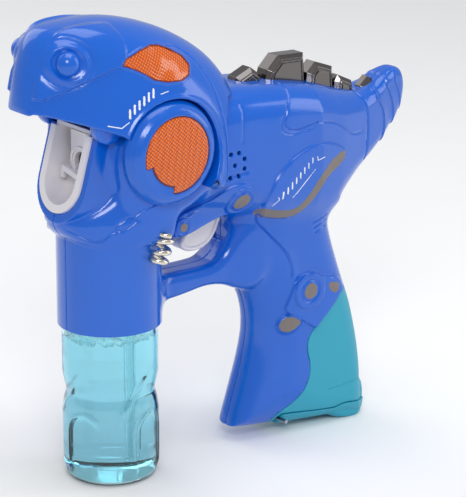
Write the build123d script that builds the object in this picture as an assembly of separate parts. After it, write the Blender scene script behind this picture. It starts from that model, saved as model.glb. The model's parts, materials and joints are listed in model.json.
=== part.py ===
"""Battery bubble blaster shaped like a dinosaur.

Its nose points towards -X, the plates on its back point up, and the bottle and the grip are its two feet.
Drawing frame: X along the body with 0 on the bottle's axis, Y across with 0 on the split of the casing,
Z up from the floor. Every node is moved by FRAME_X when it is written, so that the origin is under the middle.
"""

import os
from math import acos, cos, pi, radians, sin, tan

from build123d import *

# ---------------------------------------------------------------- driving dimensions, mm
FRAME_X = -65.0
WALL = 2.2
GAP = 0.3  # between pieces that are assembled but do not touch
RUNNING = 0.05  # radial clearance of a turning or sliding fit

BOTTLE_R, WAIST_R, BOTTLE_WALL = 23.6, 22.6, 1.2
SHOULDER_Z = 86.0
NECK_R, NECK_TOP_Z = 14.0, 100.2
LIQUID_Z = 73.5
PICKUP_X = 8.0

COLLAR_R = 25.4
COLLAR_Z = (78.0, 126.0)
SOCKET_Z = 102.0  # underside of the socket's roof

CHEEK = (13.6, 167.0)  # centre of the round lamp, X and Z
CHEEK_HALF = 29.0  # half width of the casing behind the lamps
BEZEL_R, LENS_R = 25.6, 18.2
LAMP_FACE_Y = 40.0

TORSO_HALF, GRIP_HALF, RECEIVER_HALF, GUARD_HALF, JAW_HALF = 27.0, 17.0, 17.0, 11.0, 20.5
HEEL_X, SOLE_TILT = 147.0, 5.0  # the grip stands on its heel; its sole rises towards the front

MOUTH_LOW, MOUTH_HIGH = (-30.0, 138.0), (-19.0, 176.0)  # the mouth's plane in side view
MOUTH_RIM_HALF, TUB_HALF, TUB_WALL, TUB_DEPTH = 16.0, 13.6, 1.6, 12.0
LIP_INSET = -0.6  # front face of the jaw, in front of the mouth's plane

RING = (-15.4, 160.0)  # bubble ring, X and Z
RING_R, RING_BORE_R, RING_THICK = 9.0, 5.3, 2.4
RING_STALK_HALF = 8.0
NIPPLE_Z = 173.0

AIR_Z = 164.0  # axis of the motor and the fan
DUCT_Z = 161.0  # axis of the duct where it meets the mouth
FAN_R, SHAFT_R = 15.8, 1.0
SHROUD_R, SHROUD_X = 18.8, (6.5, 20.5)

GEAR_MODULE, PINION_TEETH, WHEEL_TEETH, PRESSURE = 0.6, 12, 36, radians(25)
GEAR_STEP = GEAR_MODULE * (PINION_TEETH + WHEEL_TEETH) / 2
IDLER_Z, PUMP_Z = AIR_Z - GEAR_STEP, AIR_Z - 2 * GEAR_STEP
FIRST_GEAR_X, SECOND_GEAR_X, FACE_W = 22.4, 26.9, 4.0
FRAME_FRONT_X, FRAME_REAR_X = (20.7, 22.0), (41.0, 42.5)
PUMP_X = 36.5
HOSE_R, HOSE_BEND_R = 1.4, 10.4
TUBE_R = 1.5

MOTOR_R, MOTOR_X = 10.2, (42.7, 67.5)

TRIGGER_PIVOT = (60.0, 129.0)
TRIGGER_TURN = 15.0
LEVER_ARM = 16.0
PEG = (
    TRIGGER_PIVOT[0] + LEVER_ARM * sin(radians(TRIGGER_TURN / 2)),
    TRIGGER_PIVOT[1] + LEVER_ARM * cos(radians(TRIGGER_TURN / 2)),
)
ROD_Y, ROD_Z, ROD_THICK, ROD_HIGH = -15.2, 145.0, 1.8, 3.0
ROD_TRAVEL = 2 * LEVER_ARM * sin(radians(TRIGGER_TURN / 2))
SPRING_Z = 139.5

WIPER_AXIS = (-10.4, 152.4)  # Y and Z of the wiper's shaft
WIPER_X = (-19.6, -17.8)
WIPER_LENGTH = 21.0
WIPER_REST, WIPER_TURN = 11.0, 50.0
CRANK_X, CRANK_R = -6.0, 4.9

CELL_R, CELL_LEN = 7.1, 50.0
PACK_LEAN = 8.5  # the cells lean with the back of the grip
PACK_FOOT = (121.0, 11.5)
CELL_PLACES = [(8.5, -7.15), (8.5, 7.15), (-6.5, 0.0)]
CELL_ROOM = 0.15

SPEAKER = (56.0, 152.0)  # its axis, X and Z
SPEAKER_HOLE_R, SPEAKER_HOLE_RING_R = 1.1, 6.4
BOARD_Y = (12.0, 13.4)

DOOR_HIGH = 6.0
HINGE_X, DOOR_SCREW_X = 98.6, 141.5

# Casing screws: X, Z and the half width of the casing there. They go in from the right side.
SCREWS = [
    (-23.5, 128.0, 19.0),
    (47.0, 181.0, 22.0),
    (76.0, 176.0, 26.0),
    (140.0, 152.0, 19.0),
    (127.0, 105.0, 16.0),
    (86.0, 116.0, 16.0),
    (88.0, 74.0, 16.0),
    (32.0, 91.5, 10.0),
]
SCREW_R, SCREW_HEAD_R, BOSS_R = 1.3, 2.6, 3.4

# Back plates: side-view corners of each, low in front first.
PLATES = [
    [(72, 180), (75, 188), (84, 191.8), (90.4, 187), (90.2, 180)],
    [(91, 180), (94, 189), (100.5, 195.3), (116.5, 194.5), (118, 176)],
    [(118.6, 175), (119.4, 183.5), (124.5, 188.5), (135.5, 184.5), (136.6, 171)],
    [(137.6, 169), (137.8, 176), (139.8, 179.4), (149, 175), (150.5, 167)],
    [(153, 164), (155, 171), (160, 175.4), (166, 172), (167, 162)],
]
PLATE_HALF = [4.6, 5.2, 4.8, 4.0, 3.4]

BROW = [(-12, 212.5), (6, 218), (16, 216.5), (30, 208), (25, 200.5), (7, 202), (-1, 208)]

# Head sections: X, half width, low and high Z and corner radius.
HEAD = [
    (-53, 9, 188, 206, 6),
    (-50, 16, 184, 212.5, 10),
    (-44, 20.5, 180, 219, 14),
    (-30, 24.5, 172, 226, 19),
    (-14, 28.5, 165, 228, 22),
    (4, 33, 158, 227, 24),
    (22, 35, 150, 222.5, 25),
    (40, 31.5, 148, 213.5, 24),
    (54, 25.5, 150, 202.5, 20),
    (64, 19, 152, 189, 15),
]
LIP = [
    (-60, 240), (-60, 194), (-48, 190.6), (-35, 187), (-9, 177.5), (0, 168), (24, 156), (38, 151.5),
    (46.5, 155), (49, 186), (64, 186.5), (70, 240),
]  # fmt: skip

# Tail sections: X, Z, half length and half width, and their lean.
TAIL = [
    (128, 149, 23, 20.5, 38),
    (146, 150, 18.5, 16.5, 32),
    (160, 154.5, 14.5, 12.5, 25),
    (171, 161, 10.5, 8, 16),
    (179.5, 169.5, 7.4, 5.2, 6),
    (183, 170.5, 5, 3.6, 0),
]

TEAL = [
    (143, 72), (132, 67), (126, 57), (114, 49), (112, 45), (113.5, 31), (111, 22), (103, 14), (95, 11),
    (93, -5), (170, -5), (170, 72),
]  # fmt: skip


# ---------------------------------------------------------------- helpers
def outline(points, radius):
    """Closed side-view face with rounded corners. radius is one value or one for each corner."""
    corners = [Vector(x, 0, z) for x, z in points]
    return make_face(FilletPolyline(*corners, radius=radius, close=True))


def polygon(points):
    """Closed side-view face with sharp corners."""
    return make_face(Polyline(*[Vector(x, 0, z) for x, z in points], close=True))


def slab(face, low_y, high_y):
    """The side-view face as a solid from low_y to high_y."""
    return Pos(0, low_y, 0) * extrude(face, amount=high_y - low_y, dir=(0, 1, 0))


def pillow(face, half, edge):
    """The side-view face as a solid of that half width, with the rims of both sides rounded."""
    solid = slab(face, -half, half)
    rims = [e for e in solid.edges() if abs(abs((e @ 0.5).Y) - half) < 1e-4]
    return fillet(rims, edge)


def along_y(x, z, radius, low_y, high_y):
    """Cylinder on an axis across the object."""
    return Pos(x, (low_y + high_y) / 2, z) * Rot(90, 0, 0) * Cylinder(radius, high_y - low_y)


def along_x(y, z, radius, low_x, high_x):
    """Cylinder on an axis along the object."""
    return Pos((low_x + high_x) / 2, y, z) * Rot(0, 90, 0) * Cylinder(radius, high_x - low_x)


def upright(x, y, radius, low_z, high_z):
    """Cylinder on a vertical axis."""
    return Pos(x, y, (low_z + high_z) / 2) * Cylinder(radius, high_z - low_z)


def block(low, high):
    """Box between two corners."""
    middle = [(a + b) / 2 for a, b in zip(low, high)]
    return Pos(*middle) * Box(*(b - a for a, b in zip(low, high)))


def turned(profile, axis=Axis.Z):
    """Solid of revolution about Z from points of (radius, height)."""
    return revolve(make_face(Polyline(*[Vector(r, 0, z) for r, z in profile], close=True)), axis=axis)


def mirror_y(shape):
    """The same piece on the other side of the casing's split."""
    return mirror(shape, about=Plane.XZ)


def joined(shapes):
    """Union of a list of solids."""
    return shapes[0].fuse(*shapes[1:]) if len(shapes) > 1 else shapes[0]


def tube(points, radius):
    """Tube or wire along straight runs joined by tangent arcs, as large as their two runs allow."""
    corners = [Vector(*p) for p in points]
    radii = []
    for a, b, c in zip(corners, corners[1:], corners[2:]):
        turn = radians((b - a).get_angle(c - b))
        radii.append(0.45 * min((b - a).length, (c - b).length) / tan(turn / 2))
    path = FilletPolyline(*corners, radius=radii)
    section = Plane(origin=path @ 0, z_dir=path % 0) * Circle(radius)
    solid = sweep(section, path=path)
    print(f"  tube r {radius}: length {path.length:.1f}, tightest bend {min(radii):.1f}")
    return solid


def sole_z(x):
    """Height of the grip's sloping sole."""
    return (HEEL_X - x) * tan(radians(SOLE_TILT))


def mouth_plane(inset):
    """Plane of the mouth, moved back by inset: its Y axis runs up the mouth and its normal points back."""
    up = Vector(MOUTH_HIGH[0] - MOUTH_LOW[0], 0, MOUTH_HIGH[1] - MOUTH_LOW[1]).normalized()
    back = Vector(up.Z, 0, -up.X)
    low = Vector(MOUTH_LOW[0], 0, MOUTH_LOW[1])
    return Plane(origin=low + back * inset, x_dir=(0, 1, 0), z_dir=back)


def mouth_solid(half, bottom, top, front, rear):
    """U-shaped block on the mouth's plane: round at the bottom, square at the top."""
    sides = Polyline((-half, bottom + half), (-half, top), (half, top), (half, bottom + half))
    round_end = ThreePointArc((half, bottom + half), (0, bottom), (-half, bottom + half))
    section = make_face([*sides.edges(), *round_end.edges()])
    return extrude(mouth_plane(front) * section, amount=rear - front)


def gear(teeth, turn, y, z, low_x):
    """Spur gear on an axis along X, with involute flanks and a little backlash."""
    pitch_r = GEAR_MODULE * teeth / 2
    base_r = pitch_r * cos(PRESSURE)
    tip_r, root_r = pitch_r + GEAR_MODULE, pitch_r - 1.25 * GEAR_MODULE
    backlash = 0.05

    def half_angle(radius):
        """Half of a tooth's angular width at that radius."""
        along = acos(min(1, base_r / radius))
        at_pitch = pi / (2 * teeth) - backlash / pitch_r
        return at_pitch + (tan(PRESSURE) - PRESSURE) - (tan(along) - along)

    low_r = max(base_r, root_r)
    radii = [low_r + (tip_r - low_r) * step / 3 for step in range(4)]
    flank = [(radius, half_angle(radius)) for radius in radii]
    if root_r < low_r:
        flank.insert(0, (root_r, half_angle(low_r)))
    points = []
    for tooth in range(teeth):
        middle = 2 * pi * tooth / teeth + radians(turn)
        for radius, angle in [(r, -a) for r, a in flank] + [(r, a) for r, a in reversed(flank)]:
            points.append((radius * cos(middle + angle), radius * sin(middle + angle)))
    plane = Plane(origin=(low_x, y, z), x_dir=(0, 1, 0), z_dir=(1, 0, 0))
    return extrude(plane * make_face(Polyline(*points, close=True)), amount=FACE_W)


# ---------------------------------------------------------------- casing
def torso_plan(inset):
    """The torso narrows towards the tail in plan."""
    half = TORSO_HALF - inset
    front_x, waist_x, rump_x, narrowing = -10, 100, 155, 12
    low_z, high = 100, 110
    corners = [(front_x, half), (waist_x, half), (rump_x, half - narrowing)]
    corners += [(x, -y) for x, y in reversed(corners)]
    return Pos(0, 0, low_z) * extrude(make_face(Polyline(*corners, close=True)), amount=high)


def regions():
    """Outer and inner solids of each region of the casing."""
    torso = outline(
        [(8, 134), (8, 186.5), (62, 187.5), (100, 183.5), (142, 170.5), (150, 150), (137, 119), (64, 127)],
        [8, 8, 30, 40, 12, 12, 12, 14],
    )
    grip = outline(
        [
            (68, 94), (68, 148), (112, 148), (136.5, 118), (131, 101), (141.5, 72), (151.5, 12), (HEEL_X, 0),
            (71, sole_z(71)), (83.5, 42), (83, 66),
        ],
        [4, 6, 10, 6, 10, 60, 4, 3, 3, 20, 10],
    )  # fmt: skip
    guard = outline(
        [(16, 84), (34, 84.5), (58, 88), (76, 78), (86, 92), (80, 116), (70, 112), (58, 98.5), (16, 98.5)],
        [2, 10, 20, 5, 5, 5, 6, 12, 2],
    )
    receiver = outline([(14, 117.5), (38, 117.5), (66, 126), (84, 126), (84, 150), (14, 150)], [3, 8, 6, 3, 3, 3])
    jaw = outline(
        [(20, 120), (-21, 120), (-32.5, 131.5), (-19.4, 177), (-15, 186), (30, 186)], [3, 8, 4, 3, 3, 8]
    )
    plan = [torso_plan(0), torso_plan(WALL)]
    cheek = Plane.XZ * Pos(CHEEK[0] + 4, 162) * Circle(29)
    sizes = [
        (torso, TORSO_HALF, 14, 12),
        (grip, GRIP_HALF, 6, 1.5),
        (guard, GUARD_HALF, 3.5, 1.5),
        (receiver, RECEIVER_HALF, 4, 1.5),
        (jaw, JAW_HALF, 5, 3),
        (cheek, CHEEK_HALF, 6, 4),
    ]
    outers, inners = [], []
    for face, half, edge, inner_edge in sizes:
        outers.append(pillow(face, half, edge))
        inners.append(pillow(offset(face, -WALL, kind=Kind.INTERSECTION), half - WALL, inner_edge))
    outers[0] &= plan[0]
    inners[0] &= plan[1]
    return outers, inners


def tail(shrink):
    """The tail sweeps up from the back of the torso to a blunt tip."""
    sections = []
    for x, z, long, half, lean in TAIL:
        slope = radians(lean)
        plane = Plane(origin=(x, 0, z), x_dir=(-sin(slope), 0, cos(slope)), z_dir=(cos(slope), 0, sin(slope)))
        sections.append(plane * Ellipse(long - shrink, half - shrink))
    return loft(sections)


def spine_plate(number):
    """One plate of the back, with a raised field on each side."""
    corners = PLATES[number]
    half = PLATE_HALF[number]
    body = chamfer(slab(outline(corners, 1.2), -half, half).edges().filter_by(Axis.Y, reverse=True), 1.0)
    middle = (sum(x for x, _ in corners) / len(corners), sum(z for _, z in corners) / len(corners))
    field, proud = 0.6, 0.8
    inner = [(middle[0] + (x - middle[0]) * field, middle[1] + (z - middle[1]) * field) for x, z in corners]
    return body.fuse(slab(outline(inner, 0.6), -half - proud, half + proud))


def boss_and_hole(x, z, half):
    """Screw pillar right across the casing, and the stepped hole for its screw."""
    pillar = along_y(x, z, BOSS_R, -half, half)
    hole = along_y(x, z, SCREW_R, -half + 4, half)
    return pillar, hole.fuse(along_y(x, z, SCREW_HEAD_R + 0.2, half - 7, half + 12))


def housing_screws():
    """Eight screws from the right side."""
    screws = []
    for x, z, half in SCREWS:
        head = along_y(x, z, SCREW_HEAD_R, half - 7, half - 5) - along_y(x, z, 1.0, half - 6.2, half - 5)
        screws.append(head.fuse(along_y(x, z, SCREW_R, -half + 6, half - 7)))
    return screws


def speaker_holes():
    """Eight small holes around one, through the left side of the neck."""
    x, z = SPEAKER
    places = [(x, z)]
    for step in range(8):
        angle = 2 * pi * (step + 0.5) / 8
        places.append((x + SPEAKER_HOLE_RING_R * cos(angle), z + SPEAKER_HOLE_RING_R * sin(angle)))
    return [along_y(*place, SPEAKER_HOLE_R, -30, -20) for place in places]


def door_zone(front_x, lift):
    """Everything behind front_x and below the battery door's top edge, raised by lift."""
    back_x = HEEL_X + 20
    top = [(x, sole_z(x) + DOOR_HIGH + lift) for x in (front_x, back_x)]
    return slab(polygon([(front_x, -20), *top, (back_x, -20)]), -20, 20)


def casing_pieces():
    """Left and right housing, teal grip cover and battery door, cut from one set of shells."""
    outers, inners = regions()
    collar = upright(0, 0, COLLAR_R, *COLLAR_Z)
    bottle_room = upright(0, 0, BOTTLE_R + GAP, COLLAR_Z[0], SOCKET_Z - 2.3)
    socket_room = upright(0, 0, COLLAR_R - WALL, SOCKET_Z - 2.3, COLLAR_Z[1] - WALL)
    inners[2] = inners[2] - collar  # the trigger guard stays shut towards the bottle

    grip_shell = outers[1] - inners[1]
    teal_zone = slab(polygon(TEAL), -20, 20)
    teal = (grip_shell & teal_zone) - door_zone(HINGE_X - 2.9, GAP)
    door = grip_shell & door_zone(HINGE_X + 0.2, 0)

    filled = joined([*outers, collar, tail(0)])
    hollow = joined([*inners, socket_room, tail(WALL)])
    bosses, holes = zip(*(boss_and_hole(*screw) for screw in SCREWS))
    post = along_y(*TRIGGER_PIVOT, 3.6, 5.6, RECEIVER_HALF - 1)
    guide_x, slide = (27, 29.5), RUNNING
    guide = block((guide_x[0], -27, 140.5), (guide_x[1], -12.6, 149))
    guide_way = block(
        (guide_x[0] - 1, ROD_Y - ROD_THICK / 2 - slide, ROD_Z - ROD_HIGH / 2 - slide),
        (guide_x[1] + 1, ROD_Y + ROD_THICK / 2 + slide, ROD_Z + ROD_HIGH / 2 + slide),
    )
    solid = filled - hollow
    solid = joined([solid, *[boss & filled for boss in bosses], post, mirror_y(post), guide & filled])
    openings = [
        bottle_room,
        mouth_solid(TUB_HALF + GAP, 2, 60, LIP_INSET - 4, 4),
        block((39.5, -5.6, 108), (67.7, 5.6, 133)),
        guide_way,
        along_y(*TRIGGER_PIVOT, 1.5, -RECEIVER_HALF + 1.5, RECEIVER_HALF - 1.5),
        teal_zone,
        *holes,
        *speaker_holes(),
    ]
    solid = solid.cut(*openings)
    left = solid & block((-80, -60, -10), (200, 0, 250))
    right = solid & block((-80, 0, -10), (200, 60, 250))
    for number in range(len(PLATES)):
        left -= spine_plate(number)
        right -= spine_plate(number)
    return left, right, teal, door, filled


def head_loft(shrink):
    """Outer form of the upper head, or the same form smaller all round."""
    sections = []
    for x, half, low, high, radius in HEAD:
        place = x + shrink if x == HEAD[0][0] else x
        plane = Plane(origin=(place, 0, (low + high) / 2), x_dir=(0, 1, 0), z_dir=(1, 0, 0))
        wide, tall = 2 * (half - shrink), high - low - 2 * shrink
        sections.append(plane * RectangleRounded(wide, tall, radius - shrink))
    return loft(sections)


def head_pieces(filled):
    """Upper head cover and its two brow lamps."""
    zone = polygon(LIP)
    inner_zone = offset(zone, -WALL, kind=Kind.INTERSECTION)
    cover = (head_loft(0) & slab(zone, -60, 60)) - (head_loft(WALL) & slab(inner_zone, -60, 60))
    lamp_rooms = [along_y(*CHEEK, BEZEL_R + 0.4, 20, 60), along_y(*CHEEK, BEZEL_R + 0.4, -60, -20)]
    brow = (head_loft(-1.0) - head_loft(0.9)) & slab(outline(BROW, 1.5), -60, -12)
    cover = cover.cut(filled, *lamp_rooms, brow, mirror_y(brow))
    return cover, brow


# ---------------------------------------------------------------- lamps and trim
def cheek_bezel():
    """Round frame of the left lamp."""
    profile = [
        (LENS_R + 0.2, CHEEK_HALF), (BEZEL_R, CHEEK_HALF), (BEZEL_R, 33), (BEZEL_R - 2, 36.5),
        (LENS_R + 2.2, 38), (LENS_R + 0.2, 36.5),
    ]  # fmt: skip
    return Pos(CHEEK[0], 0, CHEEK[1]) * Rot(90, 0, 0) * turned(profile)


def cheek_lens():
    """Hollow lens of the left lamp."""
    face, thick, bevel = LAMP_FACE_Y, 1.8, 1.2
    profile = [
        (LENS_R - thick, CHEEK_HALF), (LENS_R, CHEEK_HALF), (LENS_R, face - bevel), (LENS_R - bevel, face),
        (0, face), (0, face - 2), (LENS_R - thick, face - 2),
    ]  # fmt: skip
    return Pos(CHEEK[0], 0, CHEEK[1]) * Rot(90, 0, 0) * turned(profile)


def lamp_board():
    """Round board with three lights, behind the left lens."""
    board_y, front_y = -CHEEK_HALF - 1.2, -CHEEK_HALF - 4.5
    board = along_y(*CHEEK, 11, board_y, -CHEEK_HALF)
    lights = []
    for step in range(3):
        angle = 2 * pi * step / 3
        x, z = CHEEK[0] + 6 * cos(angle), CHEEK[1] + 6 * sin(angle)
        lights.append(along_y(x, z, 1.5, front_y, board_y))
    return joined([board, *lights])


def shock_spring():
    """Chrome coil between the two links of the left side."""
    pitch, turns, coil_r, wire_r = 2.6, 5, 3.4, 1.0
    rings = [Pos(0, 0, pitch * step) * Torus(coil_r, wire_r) for step in range(turns)]
    core = Pos(0, 0, pitch * (turns - 1) / 2) * Cylinder(coil_r - 0.4, pitch * (turns - 1))
    return Pos(9.4, -24.6, 114.6) * Rot(0, 16, 0) * joined([core, *rings])


# ---------------------------------------------------------------- mouth and wiper
def mouth_tray():
    """White tub in the mouth with its rim, drain spout and the wiper's bearing."""
    tub_top, room_half = 42.5, TUB_HALF - TUB_WALL
    rim = mouth_solid(MOUTH_RIM_HALF, 0, 40, -2.2, LIP_INSET - 0.2) - mouth_solid(room_half, 4, 50, -5, 5)
    tub = mouth_solid(TUB_HALF, 2.4, tub_top, LIP_INSET - 0.2, TUB_DEPTH)
    room = mouth_solid(room_half, 4, tub_top - TUB_WALL, -5, TUB_DEPTH - TUB_WALL)
    foot, mouth = Vector(-7.5, 0, 106), Vector(-18, 0, 139.5)
    spout = Plane(origin=foot, z_dir=mouth - foot)
    length = (mouth - foot).length
    bearing = along_x(*WIPER_AXIS, 2.4, -14.4, -9.5)
    tray = rim.fuse(tub, extrude(spout * Circle(3.8), amount=length), bearing)
    cuts = [
        room,
        extrude(spout * Circle(2.6), amount=length + 3),
        along_x(0, DUCT_Z, 10.0 + RUNNING, -16, 0),
        along_x(*WIPER_AXIS, 1.2 + RUNNING, -20, 0),
        along_x(-RING_STALK_HALF, NIPPLE_Z, TUBE_R + 0.2, -14, 0),
        along_x(*WIPER_AXIS, 1.85, WIPER_X[0] - 0.4, WIPER_X[1] + 0.4),
    ]
    return tray.cut(*cuts)


def bubble_ring():
    """Ring with its film slots on a flat stalk that hangs from the roof of the mouth."""
    x, z = RING
    ring = along_x(0, z, RING_R, x, x + RING_THICK)
    stalk = block((x, -RING_STALK_HALF - 3, z + 4), (x + RING_THICK, RING_STALK_HALF, z + 15))
    nipple = along_x(-RING_STALK_HALF, NIPPLE_Z, TUBE_R, x + RING_THICK - 0.5, x + 9)
    rib = along_x(0, z, 7.8, x - 0.8, x) - along_x(0, z, 6.6, x - 0.8, x)
    return ring.fuse(stalk, rib).cut(along_x(0, z, RING_BORE_R, x - 2, x + 5)).fuse(nipple)


def wiper_arm():
    """Arm, shaft and ball-ended crank of the wiper, moulded in one."""
    shaft = along_x(*WIPER_AXIS, 1.2, WIPER_X[0], CRANK_X + 1.4)
    arm = block((WIPER_X[0], 0, -1.3), (WIPER_X[1], WIPER_LENGTH, 1.3))
    hook = block((WIPER_X[0], WIPER_LENGTH - 2, -4.8), (WIPER_X[1], WIPER_LENGTH, 0))
    hub = along_x(0, 0, 1.6, WIPER_X[0], WIPER_X[1])
    blade = Pos(0, *WIPER_AXIS) * Rot(WIPER_REST, 0, 0) * arm.fuse(hook, hub)
    reach = CRANK_R - 0.6
    crank = along_y(0, 0, 0.8, 0, reach).fuse(Pos(0, CRANK_R, 0) * Sphere(1.3))
    crank = Pos(CRANK_X, *WIPER_AXIS) * Rot(180 - WIPER_TURN / 2, 0, 0) * crank
    return shaft.fuse(blade, crank)


def push_rod():
    """Flat rod from the trigger's peg to a plate whose sloping slot turns the wiper's crank."""
    low_y, high_y = ROD_Y - ROD_THICK / 2, ROD_Y + ROD_THICK / 2
    bar = block((CRANK_X - 3, low_y, ROD_Z - ROD_HIGH / 2), (PEG[0] + 3.4, high_y, ROD_Z + ROD_HIGH / 2))
    fork = block((PEG[0] - 3.4, low_y, ROD_Z - 3), (PEG[0] + 3.4, high_y, ROD_Z + 3))
    slot = block((PEG[0] - 1.25, low_y - 1, ROD_Z - 1.6), (PEG[0] + 1.25, high_y + 1, ROD_Z + 4))
    lift = CRANK_R * sin(radians(WIPER_TURN / 2))
    top = Vector(CRANK_X, 0, WIPER_AXIS[1] + lift)
    bottom = Vector(CRANK_X + ROD_TRAVEL, 0, WIPER_AXIS[1] - lift)
    plate = block((CRANK_X - 3, low_y, ROD_Z), (CRANK_X + ROD_TRAVEL + 3, high_y, WIPER_AXIS[1] + lift + 3))
    middle = (top + bottom) / 2
    slope = Vector(1, 0, 0).get_angle(bottom - top)
    track = SlotCenterToCenter((bottom - top).length, 2.9)
    cam = Pos(middle.X, 0, middle.Z) * Rot(0, slope, 0) * Rot(90, 0, 0) * extrude(track, amount=30, both=True)
    return bar.fuse(fork, plate).cut(slot, cam)


# ---------------------------------------------------------------- air, gears and pump
def air_duct():
    """Duct from the fan forward to the mouth."""

    def form(thin):
        straight = along_x(0, DUCT_Z, 10 - thin, -10, -3)
        ends = [
            Plane(origin=(-3, 0, DUCT_Z), z_dir=(1, 0, 0)) * Circle(10 - thin),
            Plane(origin=(SHROUD_X[0], 0, AIR_Z), z_dir=(1, 0, 0)) * Circle(SHROUD_R - thin),
        ]
        return straight.fuse(loft(ends, ruled=True))

    return form(0) - form(1.4)


def fan_shroud():
    """Round wall about the fan with a back plate that the air enters through."""
    room = along_x(0, AIR_Z, SHROUD_R - 1.4, SHROUD_X[0] - 1, SHROUD_X[1] - 1.4)
    ring = along_x(0, AIR_Z, SHROUD_R, *SHROUD_X) - room
    holes = []
    for step in range(6):
        angle = pi * step / 3
        holes.append(along_x(9 * cos(angle), AIR_Z + 9 * sin(angle), 3.4, SHROUD_X[0], SHROUD_X[1] + 1))
    return ring.cut(along_x(0, AIR_Z, SHAFT_R + 0.6, SHROUD_X[0], SHROUD_X[1] + 1), *holes)


def fan_wheel():
    """Seven pitched blades on a hub."""
    hub = along_x(0, 0, 4, 9.0, 17.0)
    blades = []
    for step in range(7):
        blade = Pos(13, 0, FAN_R / 2 + 1) * Rot(0, 0, 35) * Box(1.0, 8.5, FAN_R - 2)
        blades.append(Rot(360 * step / 7, 0, 0) * blade)
    wheel = joined([hub, *blades]) & along_x(0, 0, FAN_R, 8.5, 17.5)
    return Pos(0, 0, AIR_Z) * (wheel - along_x(0, 0, SHAFT_R, 5, 20))


def gear_frame():
    """Two plates on four posts that carry the gears, with the pump's race on the rear plate."""
    half = 13.4
    front = block((FRAME_FRONT_X[0], -half, 121.8), (FRAME_FRONT_X[1], half, 158.6))
    rear = block((FRAME_REAR_X[0], -half, 121.8), (FRAME_REAR_X[1], half, 176.0))
    posts = []
    for y, z in ((11.6, 123.6), (11.9, 156.8)):
        for side in (-1, 1):
            posts.append(along_x(side * y, z, 1.5, FRAME_FRONT_X[0], FRAME_REAR_X[0]))
    race_room = along_x(0, PUMP_Z, HOSE_BEND_R + HOSE_R + 0.1, 30, FRAME_REAR_X[0])
    race = along_x(0, PUMP_Z, 13.2, 33.6, FRAME_REAR_X[0]) - race_room
    race &= block((30, -20, 100), (60, 20, PUMP_Z))
    ways = [
        along_x(0, AIR_Z, SHAFT_R + 0.6, 18, 50),
        along_x(0, IDLER_Z, 1.0, 18, 50),
        along_x(0, PUMP_Z, 1.25 + RUNNING, 18, 50),
    ]
    return front.fuse(rear, race, *posts).cut(*ways)


def idler_gear():
    """First wheel and second pinion, moulded in one."""
    wheel = gear(WHEEL_TEETH, 5, 0, IDLER_Z, FIRST_GEAR_X)
    pinion = gear(PINION_TEETH, 0, 0, IDLER_Z, SECOND_GEAR_X)
    sleeve = along_x(0, IDLER_Z, 2.4, FIRST_GEAR_X + FACE_W, SECOND_GEAR_X)
    return wheel.fuse(pinion, sleeve).cut(along_x(0, IDLER_Z, 1.0 + RUNNING, 0, 60))


def pump_rotor():
    """Two discs on the pump's shaft."""
    shaft = along_x(0, PUMP_Z, 1.25, FRAME_FRONT_X[0], FRAME_REAR_X[1] - 0.2)
    discs = [along_x(0, PUMP_Z, 8.2, low, low + 1.4) for low in (32.4, 39.2)]
    pins = [along_x(y, z, 0.8, 32.4, 40.6) for y, z in roller_places()]
    return shaft.fuse(*discs, *pins)


def roller_places():
    """Centres of the three rollers, Y and Z."""
    orbit_r = 6.2
    angles = [2 * pi * step / 3 + pi / 2 for step in range(3)]
    return [(orbit_r * cos(angle), PUMP_Z + orbit_r * sin(angle)) for angle in angles]


def pump_rollers():
    """Three rollers on the rotor's pins."""
    rollers = []
    for y, z in roller_places():
        rollers.append(along_x(y, z, 2.2, 34.0, 39.0) - along_x(y, z, 0.8 + RUNNING, 30, 42))
    return rollers


def pump_hose():
    """Soft hose that lies in the race, its two ends upright."""
    side = HOSE_BEND_R
    start = Plane(origin=(PUMP_X, -side, PUMP_Z + 2), z_dir=(0, 0, -1))
    path = Polyline((PUMP_X, -side, PUMP_Z + 2), (PUMP_X, -side, PUMP_Z)) + ThreePointArc(
        (PUMP_X, -side, PUMP_Z), (PUMP_X, 0, PUMP_Z - side), (PUMP_X, side, PUMP_Z)
    )
    path += Polyline((PUMP_X, side, PUMP_Z), (PUMP_X, side, PUMP_Z + 2))
    return sweep(start * (Circle(HOSE_R) - Circle(HOSE_R - 0.6)), path=path)


def motor():
    """Can motor with its nose, end cap and two tabs."""
    can = along_x(0, AIR_Z, MOTOR_R, MOTOR_X[0], MOTOR_X[1] - 3)
    cap = along_x(0, AIR_Z, MOTOR_R - 1.2, MOTOR_X[1] - 3, MOTOR_X[1])
    tail_boss = along_x(0, AIR_Z, 3, MOTOR_X[1], MOTOR_X[1] + 1.5)
    end_x = MOTOR_X[1]
    tabs = [block((end_x - 1, y - 0.4, AIR_Z - 5), (end_x + 1.5, y + 0.4, AIR_Z - 3)) for y in (-4, 4)]
    bore = along_x(0, AIR_Z, SHAFT_R + RUNNING, MOTOR_X[0] - 1, MOTOR_X[0] + 12)
    return can.fuse(cap, tail_boss, *tabs) - bore


# ---------------------------------------------------------------- trigger
def trigger():
    """Finger blade with the lever and peg that work the rod."""
    blade = outline(
        [
            (48, 121), (42, 114.5), (38.6, 109.5), (43.5, 105.5), (53, 105), (60, 109.5), (64, 118),
            (66, 124), (65.5, 133), (55, 133),
        ],
        [1.5, 2, 1.2, 2, 3, 4, 3, 2, 3, 3],
    )  # fmt: skip
    x, z = TRIGGER_PIVOT
    lean = Rot(0, TRIGGER_TURN / 2, 0)
    lever = Pos(x, 0, z) * lean * block((-2.4, -3, 0), (2.4, 3, LEVER_ARM + 2))
    peg = along_y(*PEG, 1.2, ROD_Y - 1.5, 8)
    return pillow(blade, 5, 1.5).fuse(lever, peg).cut(along_y(x, z, 1.5 + RUNNING, -20, 20))


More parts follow.
